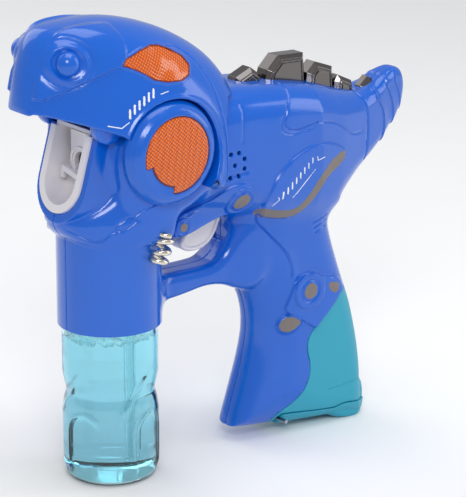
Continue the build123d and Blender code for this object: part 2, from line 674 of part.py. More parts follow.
def trigger_spring():
    """Return spring in front of the lever, as a closed sleeve."""
    return along_x(0, SPRING_Z, 2.4, FRAME_REAR_X[1], 58.6) - along_x(0, SPRING_Z, 1.8, 30, 70)


# ---------------------------------------------------------------- bottle and socket
def bottle():
    """Blown bottle with a waist, a shoulder and a short neck."""
    wall = BOTTLE_WALL
    outside = [
        (0, 0), (19.5, 0), (23, 3.5), (BOTTLE_R, 12), (BOTTLE_R, 40), (WAIST_R, 44), (BOTTLE_R, 48),
        (BOTTLE_R, 80), (21.5, 84), (NECK_R + 1, SHOULDER_Z), (NECK_R, 88), (NECK_R, NECK_TOP_Z),
    ]  # fmt: skip
    room_r = BOTTLE_R - wall
    inside = [
        (0, wall), (19, wall), (23 - wall, 4), (room_r, 12), (room_r, 40), (WAIST_R - wall, 44),
        (room_r, 48), (room_r, 79.5), (21, 82.8), (NECK_R - wall, SHOULDER_Z - wall),
        (NECK_R - wall, NECK_TOP_Z),
    ]  # fmt: skip
    shell = turned(outside + inside[::-1])
    threads = [Pos(0, 0, z) * Torus(NECK_R, 0.7) for z in (91.5, 95.5)]
    return shell.fuse(*[thread - upright(0, 0, NECK_R - 0.2, 80, 110) for thread in threads])


def bubble_solution():
    """Liquid in the bottle, with a hole where the pick-up pipe dips in."""
    wall, slack = BOTTLE_WALL, 0.02
    side_r = BOTTLE_R - wall - slack
    inside = [
        (0, wall), (19 - slack, wall), (23 - wall - slack, 4), (side_r, 12), (side_r, 40),
        (WAIST_R - wall - slack, 44), (side_r, 48), (side_r, LIQUID_Z), (0, LIQUID_Z),
    ]  # fmt: skip
    return turned(inside) - upright(PICKUP_X, 0, 2.6, 4.5, 90)


def bottle_socket():
    """Threaded cap inside the collar that the bottle screws into."""
    wall_z = SOCKET_Z - 12
    plate = upright(0, 0, COLLAR_R - WALL - RUNNING, SOCKET_Z - 2.3 + RUNNING, SOCKET_Z)
    body = upright(0, 0, NECK_R + 3, wall_z, SOCKET_Z + 2).fuse(plate)
    body -= upright(0, 0, NECK_R + 1, wall_z - 1, SOCKET_Z)
    pipe = upright(PICKUP_X, 0, 3, SOCKET_Z, SOCKET_Z + 5)
    return body.fuse(pipe).cut(upright(PICKUP_X, 0, 2.0, 90, 120), upright(-7, 0, 3.0, 90, 120))


def socket_gasket():
    """Flat seal above the bottle's rim."""
    return upright(0, 0, NECK_R + 0.8, NECK_TOP_Z + 0.3, SOCKET_Z) - upright(0, 0, NECK_R - 2.5, 90, 110)


# ---------------------------------------------------------------- batteries
def pack_place():
    """Frame of the battery pack: Z up along the cells, which lean with the back of the grip."""
    return Pos(PACK_FOOT[0], 0, PACK_FOOT[1]) * Rot(0, -PACK_LEAN, 0)


def battery_cells():
    """Three cells, each with its button."""
    cells = []
    for x, y in CELL_PLACES:
        button = upright(x, y, 2.6, CELL_LEN - 0.5, CELL_LEN + 0.5)
        cell = upright(x, y, CELL_R, 1, CELL_LEN - 0.5).fuse(button)
        cells.append(pack_place() * cell)
    return cells


def battery_box():
    """Case about the cells, open at the door."""
    shell = block((-15, -14.6, 3), (17.4, 14.6, CELL_LEN + 3))
    rooms = [upright(x, y, CELL_R + CELL_ROOM, 0, CELL_LEN + 1.2) for x, y in CELL_PLACES]
    edges = shell.edges().filter_by(Axis.Z)
    return pack_place() * (fillet(edges, 4) - joined(rooms))


def battery_contacts():
    """Plated strips at the top of the cells."""
    strips = [upright(x, y, 4, CELL_LEN + 0.5, CELL_LEN + 1.1) for x, y in CELL_PLACES]
    return [pack_place() * strip for strip in strips]


def door_hinge():
    """Axis of the battery door, X and Z."""
    return HINGE_X, sole_z(HINGE_X) + 2.9


def door_screw_place():
    """Frame of the door's screw: Z up, square to the sole, with 0 at the underside of its head."""
    return Pos(DOOR_SCREW_X, 0, sole_z(DOOR_SCREW_X) + 0.6) * Rot(0, SOLE_TILT, 0)


def battery_door(shell):
    """Foot of the grip: a shallow tray with a hinge barrel and a screw boss."""
    x, z = door_hinge()
    barrel = along_y(x, z, 2.5, -12, 12)
    web = block((x, -12, z - 2.6), (x + 4, 12, z - 0.4))
    boss = upright(0, 0, 3.2, 0, 5.0)
    hole = upright(0, 0, 1.6, -3, 9).fuse(upright(0, 0, 3.0, -3, 1.4))
    ear_room = block((x - 4, 12.1, z - 4), (x + 3.1, 14.8, z + 4))
    door = shell.fuse(barrel, web, door_screw_place() * boss)
    pin_hole = along_y(x, z, 1.0 + RUNNING, -20, 20)
    return door.cut(pin_hole, door_screw_place() * hole, ear_room, mirror_y(ear_room))


def door_screw():
    """Captive screw of the battery door."""
    head = upright(0, 0, 2.8, 0, 1.4) - block((-2.2, -0.4, -1), (2.2, 0.4, 0.7))
    return door_screw_place() * head.fuse(upright(0, 0, 1.5, 1.4, 8.0))


def hinge_ears():
    """Two ears of the teal cover that hold the door's pin."""
    x, z = door_hinge()
    ears = []
    for side in (-1, 1):
        low = block((x - 2.0, 12.3, z - 1.6), (x + 2.0, 14.5, z + 4.4))
        high = block((x - 2.0, 12.3, z + 3.5), (x + 2.0, 15.4, z + 4.4))
        ear = low.fuse(high) - along_y(x, z, 1.0, 0, 20)
        ears.append(ear if side > 0 else mirror_y(ear))
    return ears


# ---------------------------------------------------------------- electrics
def circuit_board():
    """Board in the torso with two chips and a capacitor."""
    face = BOARD_Y[0]
    board = block((82, face, 143), (116, BOARD_Y[1], 168))
    chips = [block((88, face - 1.6, 150), (95, face, 157)), block((100, face - 1.2, 148), (106, face, 152))]
    return joined([board, *chips, along_y(108, 160, 2.5, face - 6, face)])


def speaker():
    """Small loudspeaker behind the holes of the left side."""
    rim = along_y(*SPEAKER, 9.5, -24.4, -22.4) - along_y(*SPEAKER, 7, -25, -23.4)
    return rim.fuse(along_y(*SPEAKER, 6, -22.4, -19.6))


def trigger_switch():
    """Small switch that the trigger's peg presses at the end of its travel."""
    return block((47.6, 4.6, 139.5), (55.0, 10.4, 148.5)).fuse(block((55, 6, 143.5), (55.9, 9, 146.5)))


# Routes of the two hoses and three wires inside the casing.
SUCTION = [
    (PICKUP_X, 0, 107.2), (8.2, 0.6, 114.5), (10, 5, 122.5), (14, 11.8, 130), (20.5, 16.8, 138),
    (29.5, 16.6, 145.6), (35.2, 12.9, 146.3), (36.5, HOSE_BEND_R, 142), (36.5, HOSE_BEND_R, 137.3),
]  # fmt: skip
FEED = [
    (PUMP_X, -HOSE_BEND_R, 137.3), (36.4, -10.6, 143.5), (35.6, -13.6, 149.6), (31.5, -18.8, 153.6),
    (24.5, -22.4, 158), (16, -23.4, 163.5), (8.5, -22.6, 169.5), (2.6, -18.6, 174.2), (-1.4, -12.2, 174.8),
    (-3.8, -8.4, 173.2), (-6.1, -8, 173),
]  # fmt: skip
BATTERY_WIRE = [
    (113.2, 3, 66), (111.5, 3.5, 80), (107, 4.5, 97), (101.5, 6.6, 115), (99.5, 9.2, 130), (99, 12.6, 142.5),
]  # fmt: skip
MOTOR_WIRE = [(69.4, 4, 160), (73.5, 4.6, 159), (77.5, 7, 158.2), (81, 9.6, 158.6), (83, 11.4, 159.4)]
SPEAKER_WIRE = [
    (60, -18.8, 156), (63.5, -17.5, 157.5), (70, -12.5, 158), (77.5, -4.5, 156), (83, 4.5, 154),
    (85.6, 11.4, 153.4),
]  # fmt: skip


# ---------------------------------------------------------------- nodes
def build():
    """Every node by name, in the drawing frame."""
    left, right, teal, door_shell, filled = casing_pieces()
    cover, brow = head_pieces(filled)
    nodes = {
        "housing_left": left,
        "housing_right": right,
        "head_cover": cover,
        "grip_cover": joined([teal, *hinge_ears()]),
        "battery_door": battery_door(door_shell),
        "door_screw": door_screw(),
        "door_hinge_pin": along_y(*door_hinge(), 1.0, -14.5, 14.5),
        "brow_lens_left": brow,
        "brow_lens_right": mirror_y(brow),
        "mouth_tray": mouth_tray(),
        "bubble_ring": bubble_ring(),
        "wiper_arm": wiper_arm(),
        "push_rod": push_rod(),
        "trigger": trigger(),
        "trigger_pin": along_y(*TRIGGER_PIVOT, 1.5, 1.5 - RECEIVER_HALF, RECEIVER_HALF - 1.5),
        "trigger_spring": trigger_spring(),
        "trigger_switch": trigger_switch(),
        "air_duct": air_duct(),
        "fan_shroud": fan_shroud(),
        "fan_wheel": fan_wheel(),
        "motor": motor(),
        "motor_shaft": along_x(0, AIR_Z, SHAFT_R, 8.6, MOTOR_X[0] + 11.5),
        "drive_pinion": gear(PINION_TEETH, 0, 0, AIR_Z, FIRST_GEAR_X) - along_x(0, AIR_Z, SHAFT_R, 0, 60),
        "idler_gear": idler_gear(),
        "idler_axle": along_x(0, IDLER_Z, 1.0, FRAME_FRONT_X[0], FRAME_REAR_X[1]),
        "pump_gear": gear(WHEEL_TEETH, 5, 0, PUMP_Z, SECOND_GEAR_X) - along_x(0, PUMP_Z, 1.25, 0, 60),
        "pump_rotor": pump_rotor(),
        "pump_rollers": pump_rollers(),
        "pump_hose": pump_hose(),
        "gear_frame": gear_frame(),
        "bottle": bottle(),
        "bubble_solution": bubble_solution(),
        "bottle_socket": bottle_socket(),
        "socket_gasket": socket_gasket(),
        "pickup_pipe": upright(PICKUP_X, 0, 2.0, 7, 107) - upright(PICKUP_X, 0, 1.2, 0, 120),
        "suction_tube": tube(SUCTION, TUBE_R),
        "feed_tube": tube(FEED, TUBE_R),
        "battery_cells": battery_cells(),
        "battery_box": battery_box(),
        "battery_contacts": battery_contacts(),
        "circuit_board": circuit_board(),
        "speaker": speaker(),
        "battery_wires": tube(BATTERY_WIRE, 0.9),
        "motor_wires": tube(MOTOR_WIRE, 0.7),
        "speaker_wires": tube(SPEAKER_WIRE, 0.7),
        "housing_screws": housing_screws(),
    }
    for number in range(len(PLATES)):
        nodes[f"spine_plate_{number + 1}"] = spine_plate(number)
    for name, shape in (
        ("cheek_bezel", cheek_bezel()),
        ("cheek_lens", cheek_lens()),
        ("lamp_board", lamp_board()),
        ("shock_spring", shock_spring() - filled),
    ):
        nodes[f"{name}_left"] = shape
        nodes[f"{name}_right"] = mirror_y(shape)
    return nodes


def main():
    os.makedirs("parts", exist_ok=True)
    for name, shape in build().items():
        solids = shape if isinstance(shape, list) else list(shape.solids())
        piece = solids[0] if len(solids) == 1 else Compound(solids)
        export_step(Pos(FRAME_X, 0, 0) * piece, f"parts/{name}.step")
        print(name, len(solids), round(sum(s.volume for s in solids)))


main()
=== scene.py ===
"""Looks of the bubble blaster: its moulded shells, lamps, plates, bottle, paint marks and finishes.

Shapes are signed distance fields in millimetres, in the drawing frame: X = 0 on the bottle's axis,
Y = 0 on the split of the casing, Z up from the floor. The near side is -Y. solid() turns a field into
a smooth mesh in the row's frame, in metres.
"""

import json
import math

import bpy
import numpy as np
import openvdb as vdb
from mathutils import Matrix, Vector


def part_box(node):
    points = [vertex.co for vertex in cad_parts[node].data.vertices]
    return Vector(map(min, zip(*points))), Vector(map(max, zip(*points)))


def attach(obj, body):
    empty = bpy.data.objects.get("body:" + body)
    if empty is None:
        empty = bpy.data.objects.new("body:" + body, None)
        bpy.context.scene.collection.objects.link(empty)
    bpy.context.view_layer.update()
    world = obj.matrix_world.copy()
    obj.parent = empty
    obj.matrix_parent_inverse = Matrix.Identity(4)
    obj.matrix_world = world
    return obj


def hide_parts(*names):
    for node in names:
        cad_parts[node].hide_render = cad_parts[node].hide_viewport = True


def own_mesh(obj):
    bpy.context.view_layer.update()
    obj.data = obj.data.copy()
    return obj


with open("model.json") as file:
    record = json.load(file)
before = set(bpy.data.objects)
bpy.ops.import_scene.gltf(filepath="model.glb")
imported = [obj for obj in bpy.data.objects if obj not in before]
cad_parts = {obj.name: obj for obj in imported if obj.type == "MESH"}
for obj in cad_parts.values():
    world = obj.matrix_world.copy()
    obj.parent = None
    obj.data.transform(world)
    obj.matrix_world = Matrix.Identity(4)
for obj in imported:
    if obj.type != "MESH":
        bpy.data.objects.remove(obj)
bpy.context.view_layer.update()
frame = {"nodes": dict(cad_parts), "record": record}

# ---------------------------------------------------------------- driving values, mm
MM = 0.001
BOTTLE_LOW, BOTTLE_HIGH = (np.array(corner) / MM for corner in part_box("bottle"))
AXIS_X = (BOTTLE_LOW[0] + BOTTLE_HIGH[0]) / 2  # the bottle's axis in the row's frame
ORIGIN = np.array([AXIS_X, 0.0, 0.0])
BEZEL_LOW, BEZEL_HIGH = (np.array(corner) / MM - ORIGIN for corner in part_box("cheek_bezel_left"))
CHEEK = ((BEZEL_LOW[0] + BEZEL_HIGH[0]) / 2, (BEZEL_LOW[2] + BEZEL_HIGH[2]) / 2)
BEZEL_R = (BEZEL_HIGH[0] - BEZEL_LOW[0]) / 2
LENS_FACE_Y = -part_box("cheek_lens_left")[0][1] / MM
LENS_R = 18.2

STEP = 0.42  # grid of the large shells
FINE = 0.2  # grid of the small pieces
WALL = 2.2
GRIP_HALF, RECEIVER_HALF, GUARD_HALF = 17.0, 16.6, 11.0
HEEL_X, SOLE_SLOPE = 147.0, math.tan(math.radians(5))
HINGE, KNUCKLE_R = (98.6, 7.1), 3.7  # axis of the battery door and the room that its front edge turns in
EYE_R, SPEAKER_HOLE_R, WELL_R = 6.0, 1.1, 3.0
SEAM = 0.07  # half the gap along the casing's split
PAINT = 0.09  # thickness of the printed marks
COLLAR_R, COLLAR_Z = 25.4, (78.0, 126.0)
MOUTH_LOW, MOUTH_HIGH = np.array([-30.0, 138.0]), np.array([-19.0, 176.0])
SPEAKER, SPEAKER_RING_R = (56.0, 152.0), 6.4
LINK_BOSS, LINK_PIN, GRIP_BOSS = (61.0, 132.8), (31.0, 123.8), (110.9, 75.4)
SCREWS = [(47, 181), (76, 176), (140, 152), (127, 105), (86, 116), (88, 74), (32, 91.5)]

# ---------------------------------------------------------------- outlines, X and Z
TORSO = [
    (20, 140), (20, 186), (62, 187.5), (78, 186), (98, 184), (118, 180), (135, 174), (149, 170),
    (158, 170.5), (166, 175), (174, 178.5), (181, 177), (184, 171), (183.5, 163), (179, 153.5),
    (170, 146), (162, 138.5), (148, 129), (137, 119), (131.5, 112), (100, 116), (64, 126), (30, 134),
]
GRIP = [
    (68, 96), (68, 148), (112, 148), (134, 122), (129, 110), (131, 100), (136.4, 84), (141, 72),
    (145.4, 60), (149.5, 38), (151, 16), (151, 1.2), (147, 0), (71, 6.6), (70.5, 9.5), (75.5, 24),
    (80.5, 40), (83.6, 55), (83, 68), (78, 82),
]
GUARD = [
    (14, 84), (34, 84.5), (58, 88), (78, 79), (90, 92), (82, 118), (72, 114), (60, 98.5), (48, 97.4),
    (14, 98.5),
]
RECEIVER = [(12, 117.5), (38, 117.5), (66, 126), (86, 126), (86, 152), (12, 152)]
CHIN = [
    (26, 121), (4, 119.6), (-16, 120.4), (-26, 124.6), (-34, 132), (-33, 137.6), (-26, 140.6),
    (-18, 143.6), (-11, 148.6), (-3.5, 155.4), (8, 161), (24, 162),
]
CROWN = [
    (-54, 186), (-54.5, 203), (-52, 213), (-47.5, 221), (-42, 226), (-34, 229.4), (-17.5, 230.4),
    (-2, 229.6), (14, 226), (32, 219), (49.5, 208.4), (58.5, 198.7), (66, 186), (66, 140), (-54, 140),
]
HEAD_HALF = [
    (-53.6, 3), (-52, 8.5), (-49, 13), (-44.5, 17), (-39, 20.6), (-30, 24.8), (-14, 30), (4, 34.6),
    (22, 36), (40, 32.5), (54, 27), (66, 22),
]
HEAD_PLAN = HEAD_HALF + [(x, -y) for x, y in HEAD_HALF[::-1]]
CHIN_HALF = [
    (-34, 3), (-32.2, 8), (-29, 12.5), (-24.5, 16.8), (-18.5, 21), (-10, 25.2), (0, 27.6), (12, 28.2),
    (26, 27),
]
CHIN_PLAN = CHIN_HALF + [(x, -y) for x, y in CHIN_HALF[::-1]]
EYE = (-34.6, 214.4)
LIP = [
    (-64, 244), (-64, 197), (-53, 193.5), (-50.4, 189.4), (-48.2, 191.4), (-35, 187.4), (-22, 182.6),
    (-9, 177.5), (-4, 168), (24, 152), (38, 145), (46.5, 152), (49, 186), (66, 186.5), (72, 244),
]
CHEVRON = [
    (-54, 207.5), (-51.5, 201.5), (-48.4, 197), (-36, 202), (-25.4, 206), (-17, 209.3), (-8.7, 211.2),
]
BROW_LENS = [(-12, 212.5), (6, 218.2), (16, 216.7), (30, 208), (25, 200.5), (7, 202), (-1, 208)]
TEAL = [
    (134, 72), (128.6, 66.2), (122, 59.6), (114.4, 53), (111, 48.5), (110.9, 42), (112.6, 36),
    (111.9, 29.4), (109, 23.3), (103.9, 18.3), (98, 14), (93, 10.6), (92, -6), (172, -6), (172, 72),
]
WING = [
    (76, 128), (80.8, 139.5), (84.9, 144.1), (92.2, 149.6), (100, 152.4), (108, 153.9), (117, 152.8),
    (126.3, 149), (131.5, 145), (128, 141), (117, 136), (109.7, 129), (103.2, 121), (97.6, 117),
    (88.3, 117.4), (76, 121),
]
WING_BAND = [
    (75, 126.6), (75.4, 120.4), (88.3, 116.9), (97.8, 116.6), (103.4, 119.2), (109.9, 128.2),
    (117.3, 135), (130.8, 140.4), (131.4, 144.9), (127.6, 146.8), (118, 143.4), (110.5, 137.2),
    (101.3, 126.8), (96.4, 121.8), (86.4, 122.8),
]
PANEL_SEAM = [
    (95, 187), (93.4, 182), (87.8, 173), (86.2, 166.8), (91.8, 162.8), (101.7, 164), (108.6, 164.6),
]
PANEL_FADE = [(108.6, 164.6), (119.6, 163), (128.9, 158.4), (136.4, 152.2), (145.6, 151.5)]
TAIL_SEAM = [(146.5, 172), (149.5, 164.6), (151, 157), (151.4, 147), (150, 136)]
GRIP_SEAM = [
    (76.2, 128), (78.2, 118), (82.2, 112.6), (90, 104.7), (96.9, 96.9), (100, 89.3), (100.2, 84.1),
]
ARM = [
    (25.5, 122), (26.5, 127.4), (31, 130.4), (39.3, 133.4), (48, 139.9), (55, 142.6), (64, 142.2),
    (69.5, 137), (69.5, 129), (64, 124.6), (54, 124.2), (44, 121.6), (36, 118.2), (28, 118),
]
GRIP_LINK = [
    (98.6, 72), (96.6, 67.5), (99.4, 64.6), (108.6, 59.2), (117.4, 52.6), (130, 61), (134.8, 67),
    (134, 75), (128, 80), (121, 80.6), (112, 85.2), (102, 82),
]
GRIP_DIAMOND = [(92.8, 60.4), (99.2, 65.2), (108.6, 59.8), (100.6, 54.2), (94.8, 55)]
GRIP_PATCH = [(122.9, 77.6), (131, 76), (130, 71.2), (126.8, 70.4), (123.2, 74)]
NECK_SEAM = [
    (20, 216), (27, 213.6), (35.5, 206.4), (41.6, 193), (44.2, 183), (46, 172), (45.4, 157.7),
    (41.1, 143.8),
]
JAW_PANEL = [(-35, 136.8), (-32.6, 133.6), (-26, 129), (-19.5, 125.3), (-14.6, 130.6), (-11.6, 131)]
JAW_SLOT = [(-12.2, 134.2), (-7, 137.2), (-2.6, 137), (-3.6, 134), (-8.9, 131.2), (-12.4, 131.4)]
JAW_LINE = [(-3, 137.6), (1, 140.4), (7.3, 142.4)]
TORSO_X = [60, 90, 112, 130, 146, 157, 170, 182, 188]  # half widths of the torso and tail at these places
TORSO_HALF = [27, 27, 25.4, 20.6, 15.2, 12, 8, 4.8, 3.6]
PLATES = [
    [(72, 178), (75, 188), (84, 191.8), (90.4, 187), (90.4, 178)],
    [(91, 178), (94, 189), (100.5, 195.3), (116.5, 194.5), (118, 174)],
    [(118.6, 174), (119.4, 183.5), (124.5, 188.5), (135.5, 184.5), (136.6, 169)],
    [(137.6, 168), (137.8, 176), (139.8, 179.4), (149, 175), (150.5, 166)],
    [(153, 163), (155, 171), (160, 175.4), (166, 172), (167, 161)],
]
PLATE_HALF = [5.0, 5.6, 5.2, 4.4, 3.8]


# ---------------------------------------------------------------- fields
def curve(points, closed=True, rounds=3):
    """The points with their corners cut away, so that they run as a smooth line."""
    line = np.array(points, float)
    for _ in range(rounds):
        ahead = np.roll(line, -1, axis=0) if closed else line[1:]
        start = line if closed else line[:-1]
        cut = np.stack([0.75 * start + 0.25 * ahead, 0.25 * start + 0.75 * ahead], axis=1).reshape(-1, 2)
        line = cut if closed else np.vstack([line[:1], cut, line[-1:]])
    return line


def path_distance(line, a, b, closed=False):
    """Distance from the places (a, b) to a line of straight runs."""
    ends = np.roll(line, -1, axis=0) if closed else line[1:]
    nearest = np.full(np.broadcast(a, b).shape, 1e6, np.float32)
    for (ax, az), (bx, bz) in zip(line, ends):
        dx, dz = bx - ax, bz - az
        share = np.clip(((a - ax) * dx + (b - az) * dz) / (dx * dx + dz * dz + 1e-9), 0, 1)
        np.minimum(nearest, (a - ax - share * dx) ** 2 + (b - az - share * dz) ** 2, out=nearest)
    return np.sqrt(nearest)


def region(line, a, b):
    """Signed distance from the places (a, b) to a closed outline, negative inside."""
    within = np.zeros(np.broadcast(a, b).shape, bool)
    for (ax, az), (bx, bz) in zip(line, np.roll(line, -1, axis=0)):
        if az != bz:
            crosses = (az > b) != (bz > b)
            within ^= crosses & (a < ax + (b - az) * (bx - ax) / (bz - az))
    return np.where(within, -1, 1).astype(np.float32) * path_distance(line, a, b, closed=True)


def union(a, b, blend):
    """Smooth union of two fields."""
    mix = np.clip(0.5 + 0.5 * (b - a) / blend, 0, 1)
    return b + (a - b) * mix - blend * mix * (1 - mix)


def overlap(a, b, blend):
    """Smooth intersection of two fields."""
    return -union(-a, -b, blend)


def pillow(side, y, half, edge):
    """A side-view region as a solid of that half width, with round rims."""
    a, b = side + edge, np.abs(y) - half + edge
    return np.minimum(np.maximum(a, b), 0) + np.hypot(np.maximum(a, 0), np.maximum(b, 0)) - edge


def ramp(value, start, end):
    """0 before start, 1 after end and smooth between."""
    t = np.clip((value - start) / (end - start), 0, 1)
    return t * t * (3 - 2 * t)


def raised(side, height, soft):
    """Height of a raised field with a sloping rim."""
    return height * ramp(-side, -soft, soft)


def groove(away, width, depth):
    """Height of a rounded groove, below zero."""
    return -depth * np.exp(-((away / width) ** 2))


def ring(x, z, centre, radius):
    """Distance to a circle seen from the side."""
    return np.abs(np.hypot(x - centre[0], z - centre[1]) - radius)


def bar(x, z, start, end, half):
    """Signed distance to a round-ended bar seen from the side."""
    return path_distance(np.array([start, end], float), x, z) - half


def lookup(value, knots, results):
    """Straight-line table lookup that keeps single precision."""
    return np.interp(value, knots, results).astype(np.float32)


# ---------------------------------------------------------------- meshes
def sample(values, places):
    """Values of a grid at places between its points."""
    top = np.array(values.shape) - 2
    low = np.clip(np.floor(places).astype(int), 0, top)
    t = places - low
    total = 0
    for corner in np.ndindex(2, 2, 2):
        weight = np.prod(np.where(corner, t, 1 - t), axis=1)
        total = total + weight * values[tuple((low + corner).T)]
    return total


def solid(name, field, low, high, step, flip=False, detail=0.03):
    """Mesh of a field between two corners. flip mirrors it across the casing's split."""
    axes = [np.arange(a, b + step, step, dtype=np.float32) for a, b in zip(low, high)]
    y, z = axes[1][None, :, None], axes[2][None, None, :]
    band = 4 * step
    slices = []
    for start in range(0, len(axes[0]), 24):
        x = axes[0][start : start + 24, None, None]
        piece = np.broadcast_to(field(x, y, z), (x.shape[0], len(axes[1]), len(axes[2])))
        slices.append(np.clip(piece, -band, band).astype(np.float32))
    values = np.concatenate(slices)
    grid = vdb.FloatGrid(band)
    grid.copyFromArray(values, tolerance=0.0)
    points, triangles, quads = grid.convertToPolygons(isovalue=0, adaptivity=detail)
    slope = []
    for axis in range(3):
        shift = np.zeros(3)
        shift[axis] = 0.5
        slope.append(sample(values, points + shift) - sample(values, points - shift))
    normals = np.stack(slope, axis=1)
    normals /= np.linalg.norm(normals, axis=1, keepdims=True) + 1e-12
    points = points * step + np.array(low)
    faces = [list(face) for face in quads] + [list(face) for face in triangles]
    if flip:
        points[:, 1] *= -1
        normals[:, 1] *= -1
    return shell_mesh(name, points, faces, normals)


def shell_mesh(name, points, faces, normals):
    """Mesh object in metres whose faces look the way of its normals."""
    sides = []
    for count in sorted({len(face) for face in faces}):
        group = np.array([face for face in faces if len(face) == count])
        first = points[group[:, 2]] - points[group[:, 0]]
        second = points[group[:, -1]] - points[group[:, 1]]
        away = (np.cross(first, second) * normals[group].mean(axis=1)).sum(axis=1) < 0
        group[away] = group[away][:, ::-1]
        sides += group.tolist()
    mesh = bpy.data.meshes.new(name)
    mesh.from_pydata(((points + ORIGIN) * MM).tolist(), [], sides)
    mesh.validate()
    mesh.polygons.foreach_set("use_smooth", [True] * len(mesh.polygons))
    mesh.normals_split_custom_set_from_vertices(normals.tolist())
    piece = bpy.data.objects.new(name, mesh)
    bpy.context.scene.collection.objects.link(piece)
    return piece


def finish(piece, material, slot, body, *nodes):
    """Gives a piece its material and the body it rides on, and hides the CAD nodes it stands for. slot is
    not used.
    """
    piece.data.materials.clear()
    piece.data.materials.append(material)
    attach(piece, body)
    if nodes:
        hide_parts(*nodes)
    return piece


# ---------------------------------------------------------------- materials
def linear(colour):
    """Screen colour of 0 to 255 as linear light."""
    parts = [part / 255 for part in colour]
    return [part / 12.92 if part <= 0.04045 else ((part + 0.055) / 1.055) ** 2.4 for part in parts] + [1.0]


def plastic(
    name, colour, roughness, spread=0.06, grain=900.0, relief=0.02, metallic=0.0, coat=0.0, **sockets
):
    """Moulded finish: slightly uneven colour and gloss, and a fine relief of its tool's surface."""
    material = bpy.data.materials.new(name)
    material.use_nodes = True
    tree = material.node_tree
    shader = tree.nodes["Principled BSDF"]
    place = tree.nodes.new("ShaderNodeTexCoord")
    cloud = tree.nodes.new("ShaderNodeTexNoise")
    cloud.inputs["Scale"].default_value = 28.0
    cloud.inputs["Detail"].default_value = 4.0
    fine = tree.nodes.new("ShaderNodeTexNoise")
    fine.inputs["Scale"].default_value = grain
    fine.inputs["Detail"].default_value = 3.0
    tint = tree.nodes.new("ShaderNodeMix")
    tint.data_type = "RGBA"
    base = linear(colour)
    tint.inputs["A"].default_value = [part * (1 - spread) for part in base[:3]] + [1.0]
    tint.inputs["B"].default_value = [min(1.0, part * (1 + spread)) for part in base[:3]] + [1.0]
    gloss = tree.nodes.new("ShaderNodeMapRange")
    gloss.inputs["To Min"].default_value = roughness * 0.8
    gloss.inputs["To Max"].default_value = roughness * 1.2
    bump = tree.nodes.new("ShaderNodeBump")
    bump.inputs["Strength"].default_value = relief
    bump.inputs["Distance"].default_value = 0.0002
    tree.links.new(cloud.outputs["Fac"], tint.inputs["Factor"])
    tree.links.new(cloud.outputs["Fac"], gloss.inputs["Value"])
    tree.links.new(fine.outputs["Fac"], bump.inputs["Height"])
    for texture in (cloud, fine):
        tree.links.new(place.outputs["Object"], texture.inputs["Vector"])
    tree.links.new(tint.outputs["Result"], shader.inputs["Base Color"])
    tree.links.new(gloss.outputs["Result"], shader.inputs["Roughness"])
    tree.links.new(bump.outputs["Normal"], shader.inputs["Normal"])
    shader.inputs["Metallic"].default_value = metallic
    shader.inputs["Coat Weight"].default_value = coat
    for socket, value in sockets.items():
        shader.inputs[socket].default_value = value
    return material


CLEAR = {"Transmission Weight": 1.0, "IOR": 1.45}
WATER = {"Transmission Weight": 1.0, "IOR": 1.33}
FOAM_PAINTED_GLOW = {"Emission Color": (0.5, 0.84, 0.9, 1.0), "Emission Strength": 0.35}  # painted light: a glow that keeps the froth bright inside the clear bottle, whose wall leaves it in shade
BLUE = plastic("blue_abs", (4, 94, 203), 0.17, coat=0.3, IOR=1.5)
TRIM = plastic("blue_trim", (6, 94, 201), 0.2, coat=0.25, IOR=1.5)
TEAL_PLASTIC = plastic("teal_abs", (40, 160, 186), 0.42, relief=0.05)
ORANGE_WITH_PRISM_SHADE = plastic("orange_lens", (240, 116, 22), 0.2, spread=0.12, coat=0.5, IOR=1.5)
# darker copy of the lens colour: painted shade for the dark line where each lens meets its frame or the
# head
LENS_EDGE_SHADE = plastic("lens_edge_shade", (120, 34, 30), 0.35)
CHROME_DARK = plastic("dark_chrome", (112, 108, 107), 0.13, metallic=1.0, relief=0.05)
CHROME = plastic("chrome_trim", (226, 218, 204), 0.12, metallic=1.0)
WHITE = plastic("white_abs", (228, 224, 226), 0.3, spread=0.02, coat=0.2)
GREY_PAINT = plastic("grey_paint", (122, 113, 108), 0.45, relief=0.1, grain=2500.0)
WHITE_PAINT = plastic("white_paint", (236, 238, 246), 0.4, spread=0.02)
BOTTLE_PLASTIC = plastic("bottle_plastic", (216, 246, 252), 0.04, spread=0.02, relief=0.01, **CLEAR)
LIQUID = plastic("solution", (208, 243, 249), 0.02, spread=0.03, relief=0.0, **WATER)
# the froth's own pale colour, with a painted glow that brightens it where the bottle's wall leaves it in
# shade
FOAM_WITH_PAINTED_GLOW = plastic("foam", (196, 236, 244), 0.3, spread=0.12, grain=420.0, relief=0.9, **FOAM_PAINTED_GLOW)
INNER = plastic("inner_plastic", (206, 206, 200), 0.5)
GEAR_NYLON = plastic("gear_nylon", (236, 232, 216), 0.45)
STEEL = plastic("steel", (176, 178, 182), 0.28, metallic=1.0)
CAN = plastic("motor_can", (168, 170, 172), 0.32, metallic=1.0)
CELL = plastic("cell_wrap", (46, 52, 60), 0.35)
RUBBER = plastic("seal_rubber", (40, 40, 42), 0.7)
PIPE = plastic("clear_pipe", (236, 248, 250), 0.08, **{"Transmission Weight": 1.0, "IOR": 1.36})
BOARD = plastic("board_green", (28, 104, 62), 0.4)
PAPER = plastic("speaker_black", (28, 28, 30), 0.65)
JACKET = plastic("wire_jacket", (176, 34, 30), 0.4)


